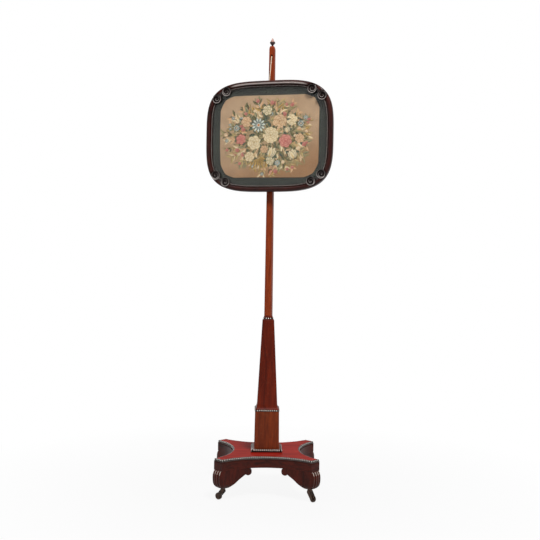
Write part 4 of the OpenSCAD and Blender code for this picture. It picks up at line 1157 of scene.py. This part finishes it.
def makeNeedleSkin():
    material, tree, shader = startMaterial("needlework")
    paint = addNode(tree, "Attribute", attribute_name="wool").outputs["Color"]
    uv = addNode(tree, "UVMap", uv_map="stitch").outputs[0]
    stitch = useGroup(tree, stitches, Vector=uv, Slant=0.5)
    fade = spread(tree, noise(tree, uv, 0.03, 3.0), 0.3, 0.7, 0.88, 1.08)
    tone = calc(tree, "MULTIPLY", stitch["Tone"], fade)
    grey = addNode(tree, "CombineColor", {0: tone, 1: tone, 2: tone}).outputs[0]
    fillInputs(tree, shader, {
        "Base Color": mixColour(tree, 1.0, paint, grey, "MULTIPLY"), "Roughness": 0.95, "Sheen Weight": 0.12,
        "Normal": bumped(tree, stitch["Height"], 0.5, 0.0005)})
    return material


# the worn outline: soft cut corners, drawn in a little at the lower corners
def needleEdge(u, v):
    n = needleSet
    x, z = (u - 0.5) * n["width"], (v - 0.5) * n["height"]
    sideways, upwards = abs(u - 0.5) * 2, abs(v - 0.5) * 2
    fromU, fromV = n["cornerFrom"]
    corner = max(0.0, sideways - fromU) / (1 - fromU) * max(0.0, upwards - fromV) / (1 - fromV)
    pull = 1 - n["cornerPull"] * corner ** 1.1
    x *= 1 - n["lowerPull"] * max(0.0, n["lowerFrom"] - v) / n["lowerFrom"]
    wave = 0.72 * sin(7 * v + 1) * sideways ** 3
    rise = 0.7 * sin(6 * u) * upwards ** 3
    return x * pull * n["shrink"][0] + wave, z * pull * n["shrink"][1] + rise


def makeNeedlework():
    n = needleSet
    bm = bmesh.new()
    uvLayer = bm.loops.layers.uv.new("stitch")
    bmesh.ops.create_grid(bm, x_segments=n["columns"], y_segments=n["rows"], size=0.5, calc_uvs=False)
    spots = [needleEdge(vert.co.x + 0.5, vert.co.y + 0.5) for vert in bm.verts]
    work = stitchBouquet(np.array([p[0] for p in spots]), np.array([p[1] for p in spots]))
    paint = bm.verts.layers.float_color.new("wool")
    for vert, (x, z), colour, lift in zip(bm.verts, spots, work.colour, work.lift):
        pucker = n["pucker"] * sin(x * 0.09) * sin(z * 0.07 + 1)
        vert.co = facePoint(x, z, n["depth"] + pucker + n["raise"] * lift)
        vert[paint] = (*colour, 1)
    bm.verts.index_update()
    area = sum(face.calc_area() for face in bm.faces)
    for face in bm.faces:
        face.smooth = True
        for loop in face.loops:
            x, z = spots[loop.vert.index]
            loop[uvLayer].uv = (x / n["stitch"], z / n["stitch"])
        if face.normal.dot(screenFront) < 0:
            face.normal_flip()
    skins["needlework"] = makeNeedleSkin()
    piece = placePiece(bm, "needlePanel", "needlework", "screen", "needlework")
    print("needlework stitched, area", round(area, 4))


makeNeedlework()

# glass in front of the needlework, clear with a faint green tone
glassSet = {"tone": (0.965, 0.97, 0.945, 1), "toneWarm": (0.99, 0.985, 0.97, 1), "through": (0.97, 0.97, 0.95, 1),
            "bend": 1.36}


def makeGlassSkin():
    material, tree, shader = startMaterial("clearGlass")
    smear = noise(tree, objectVector(tree), 9.0, 3.0)
    fillInputs(tree, shader, {
        "Base Color": mixColour(tree, smear, glassSet["tone"], glassSet["toneWarm"]), "Transmission Weight": 1.0,
        "Metallic": 0.0, "IOR": glassSet["bend"], "Roughness": 0.0})
    path = addNode(tree, "LightPath").outputs
    clear = addNode(tree, "BsdfTransparent", {"Color": glassSet["through"]}).outputs[0]
    either = calc(tree, "MAXIMUM", path["Is Shadow Ray"], path["Is Diffuse Ray"])
    mix = addNode(tree, "MixShader", {0: either, 1: shader.outputs[0], 2: clear}).outputs[0]
    fillInputs(tree, tree.nodes["Material Output"], {"Surface": mix})
    return material


# back of the screen: board, slide blocks, keepers, springs and screws
def makeBack():
    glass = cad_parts["glass"]
    glass.data.materials.clear()
    glass.data.materials.append(makeGlassSkin())
    easedCopies("screen", ("backboard", "backPanel", "boardWood", "board_wood", 0.4))
    for place in ("upper", "lower"):
        easedCopies("screen", ("slide_block_" + place, "slideBlock." + place, "blockWood", "carved_wood", 0.8),
                    ("keeper_" + place, "keeper." + place, "brass", "brass", 0.2),
                    ("spring_" + place, "spring." + place, "brass", "brass", 0.1))
    easedCopies("screen", ("keeper_screws", "keeperScrews", "brass", "brass", 0.3),
                ("cord_eye", "cordEye", "brass", "brass", 0.0))
    print("back of the screen built")


makeBack()

# plain pale floor and soft light; each lamp has its place, what it points at, its size and power
lightSet = {"ambient": 0.2, "shine": 0.25, "floor": "c8c8c8", "floorShine": 0.6, "floorHalf": 6,
            "nearReach": 0.3, "nearWhite": 0.91, "farReach": 1.2,
            "keyLight": ((0.9, -2.1, 3.6), (0, 0, 0.75), (0.9, 0.9), 108.0),
            "fillLight": ((-3.0, -1.0, 1.9), (0, 0, 0.75), (1.2, 1.6), 7.0),
            "topLight": ((-0.6, -0.9, 3.4), (0, 0, 0.5), (1.0, 1.0), 8.0),
            "backLight": ((-0.7, 3.0, 2.0), (0, 0, 0.8), (1.4, 1.4), 26.0)}


# white for the camera and through glass, less in reflections, none for the light on the object
def seenShare(tree, shine):
    path = addNode(tree, "LightPath").outputs
    seen = calc(tree, "MAXIMUM", path["Is Camera Ray"], path["Is Transmission Ray"])
    return calc(tree, "MAXIMUM", seen, calc(tree, "MULTIPLY", path["Is Glossy Ray"], shine))


def makeWorld():
    world = bpy.data.worlds.new("studio")
    scene.world = world
    world.use_nodes = True
    tree = world.node_tree
    strength = spread(tree, seenShare(tree, lightSet["shine"]), 0.0, 1.0, lightSet["ambient"], 1.0)
    fillInputs(tree, tree.nodes["Background"], {"Color": (1, 1, 1, 1), "Strength": strength})


def makeFloor():
    bm = bmesh.new()
    bmesh.ops.create_grid(bm, x_segments=1, y_segments=1, size=lightSet["floorHalf"])
    mesh = bpy.data.meshes.new("floor")
    bm.to_mesh(mesh)
    bm.free()
    floor = bpy.data.objects.new("floor", mesh)
    scene.collection.objects.link(floor)
    material, tree, shader = startMaterial("paleFloor")
    fillInputs(tree, shader, {"Base Color": tint(lightSet["floor"]), "Roughness": 0.9, "Specular IOR Level": 0.0})
    glow = addNode(tree, "Emission", {"Color": (1, 1, 1, 1), "Strength": 1.0}).outputs[0]
    reach = addNode(tree, "VectorMath", {0: addNode(tree, "TexCoord").outputs["Object"]}, operation="LENGTH")
    near, far = lightSet["nearReach"], lightSet["farReach"]
    white = spread(tree, reach.outputs["Value"], near, far, lightSet["nearWhite"], 1.0)
    share = calc(tree, "MULTIPLY", seenShare(tree, lightSet["floorShine"]), white)
    mix = addNode(tree, "MixShader", {0: share, 1: shader.outputs[0], 2: glow}).outputs[0]
    fillInputs(tree, tree.nodes["Material Output"], {"Surface": mix})
    mesh.materials.append(material)


def addLamp(name):
    place, target, size, power = lightSet[name]
    data = bpy.data.lights.new(name, "AREA")
    data.shape = "RECTANGLE"
    data.size, data.size_y = size
    data.energy = power
    lamp = bpy.data.objects.new(name, data)
    lamp.location = place
    lamp.rotation_euler = (Vector(target) - Vector(place)).to_track_quat("-Z", "Y").to_euler()
    scene.collection.objects.link(lamp)


makeWorld()
makeFloor()
for lampName in ("keyLight", "fillLight", "topLight", "backLight"):
    addLamp(lampName)
print("light set")
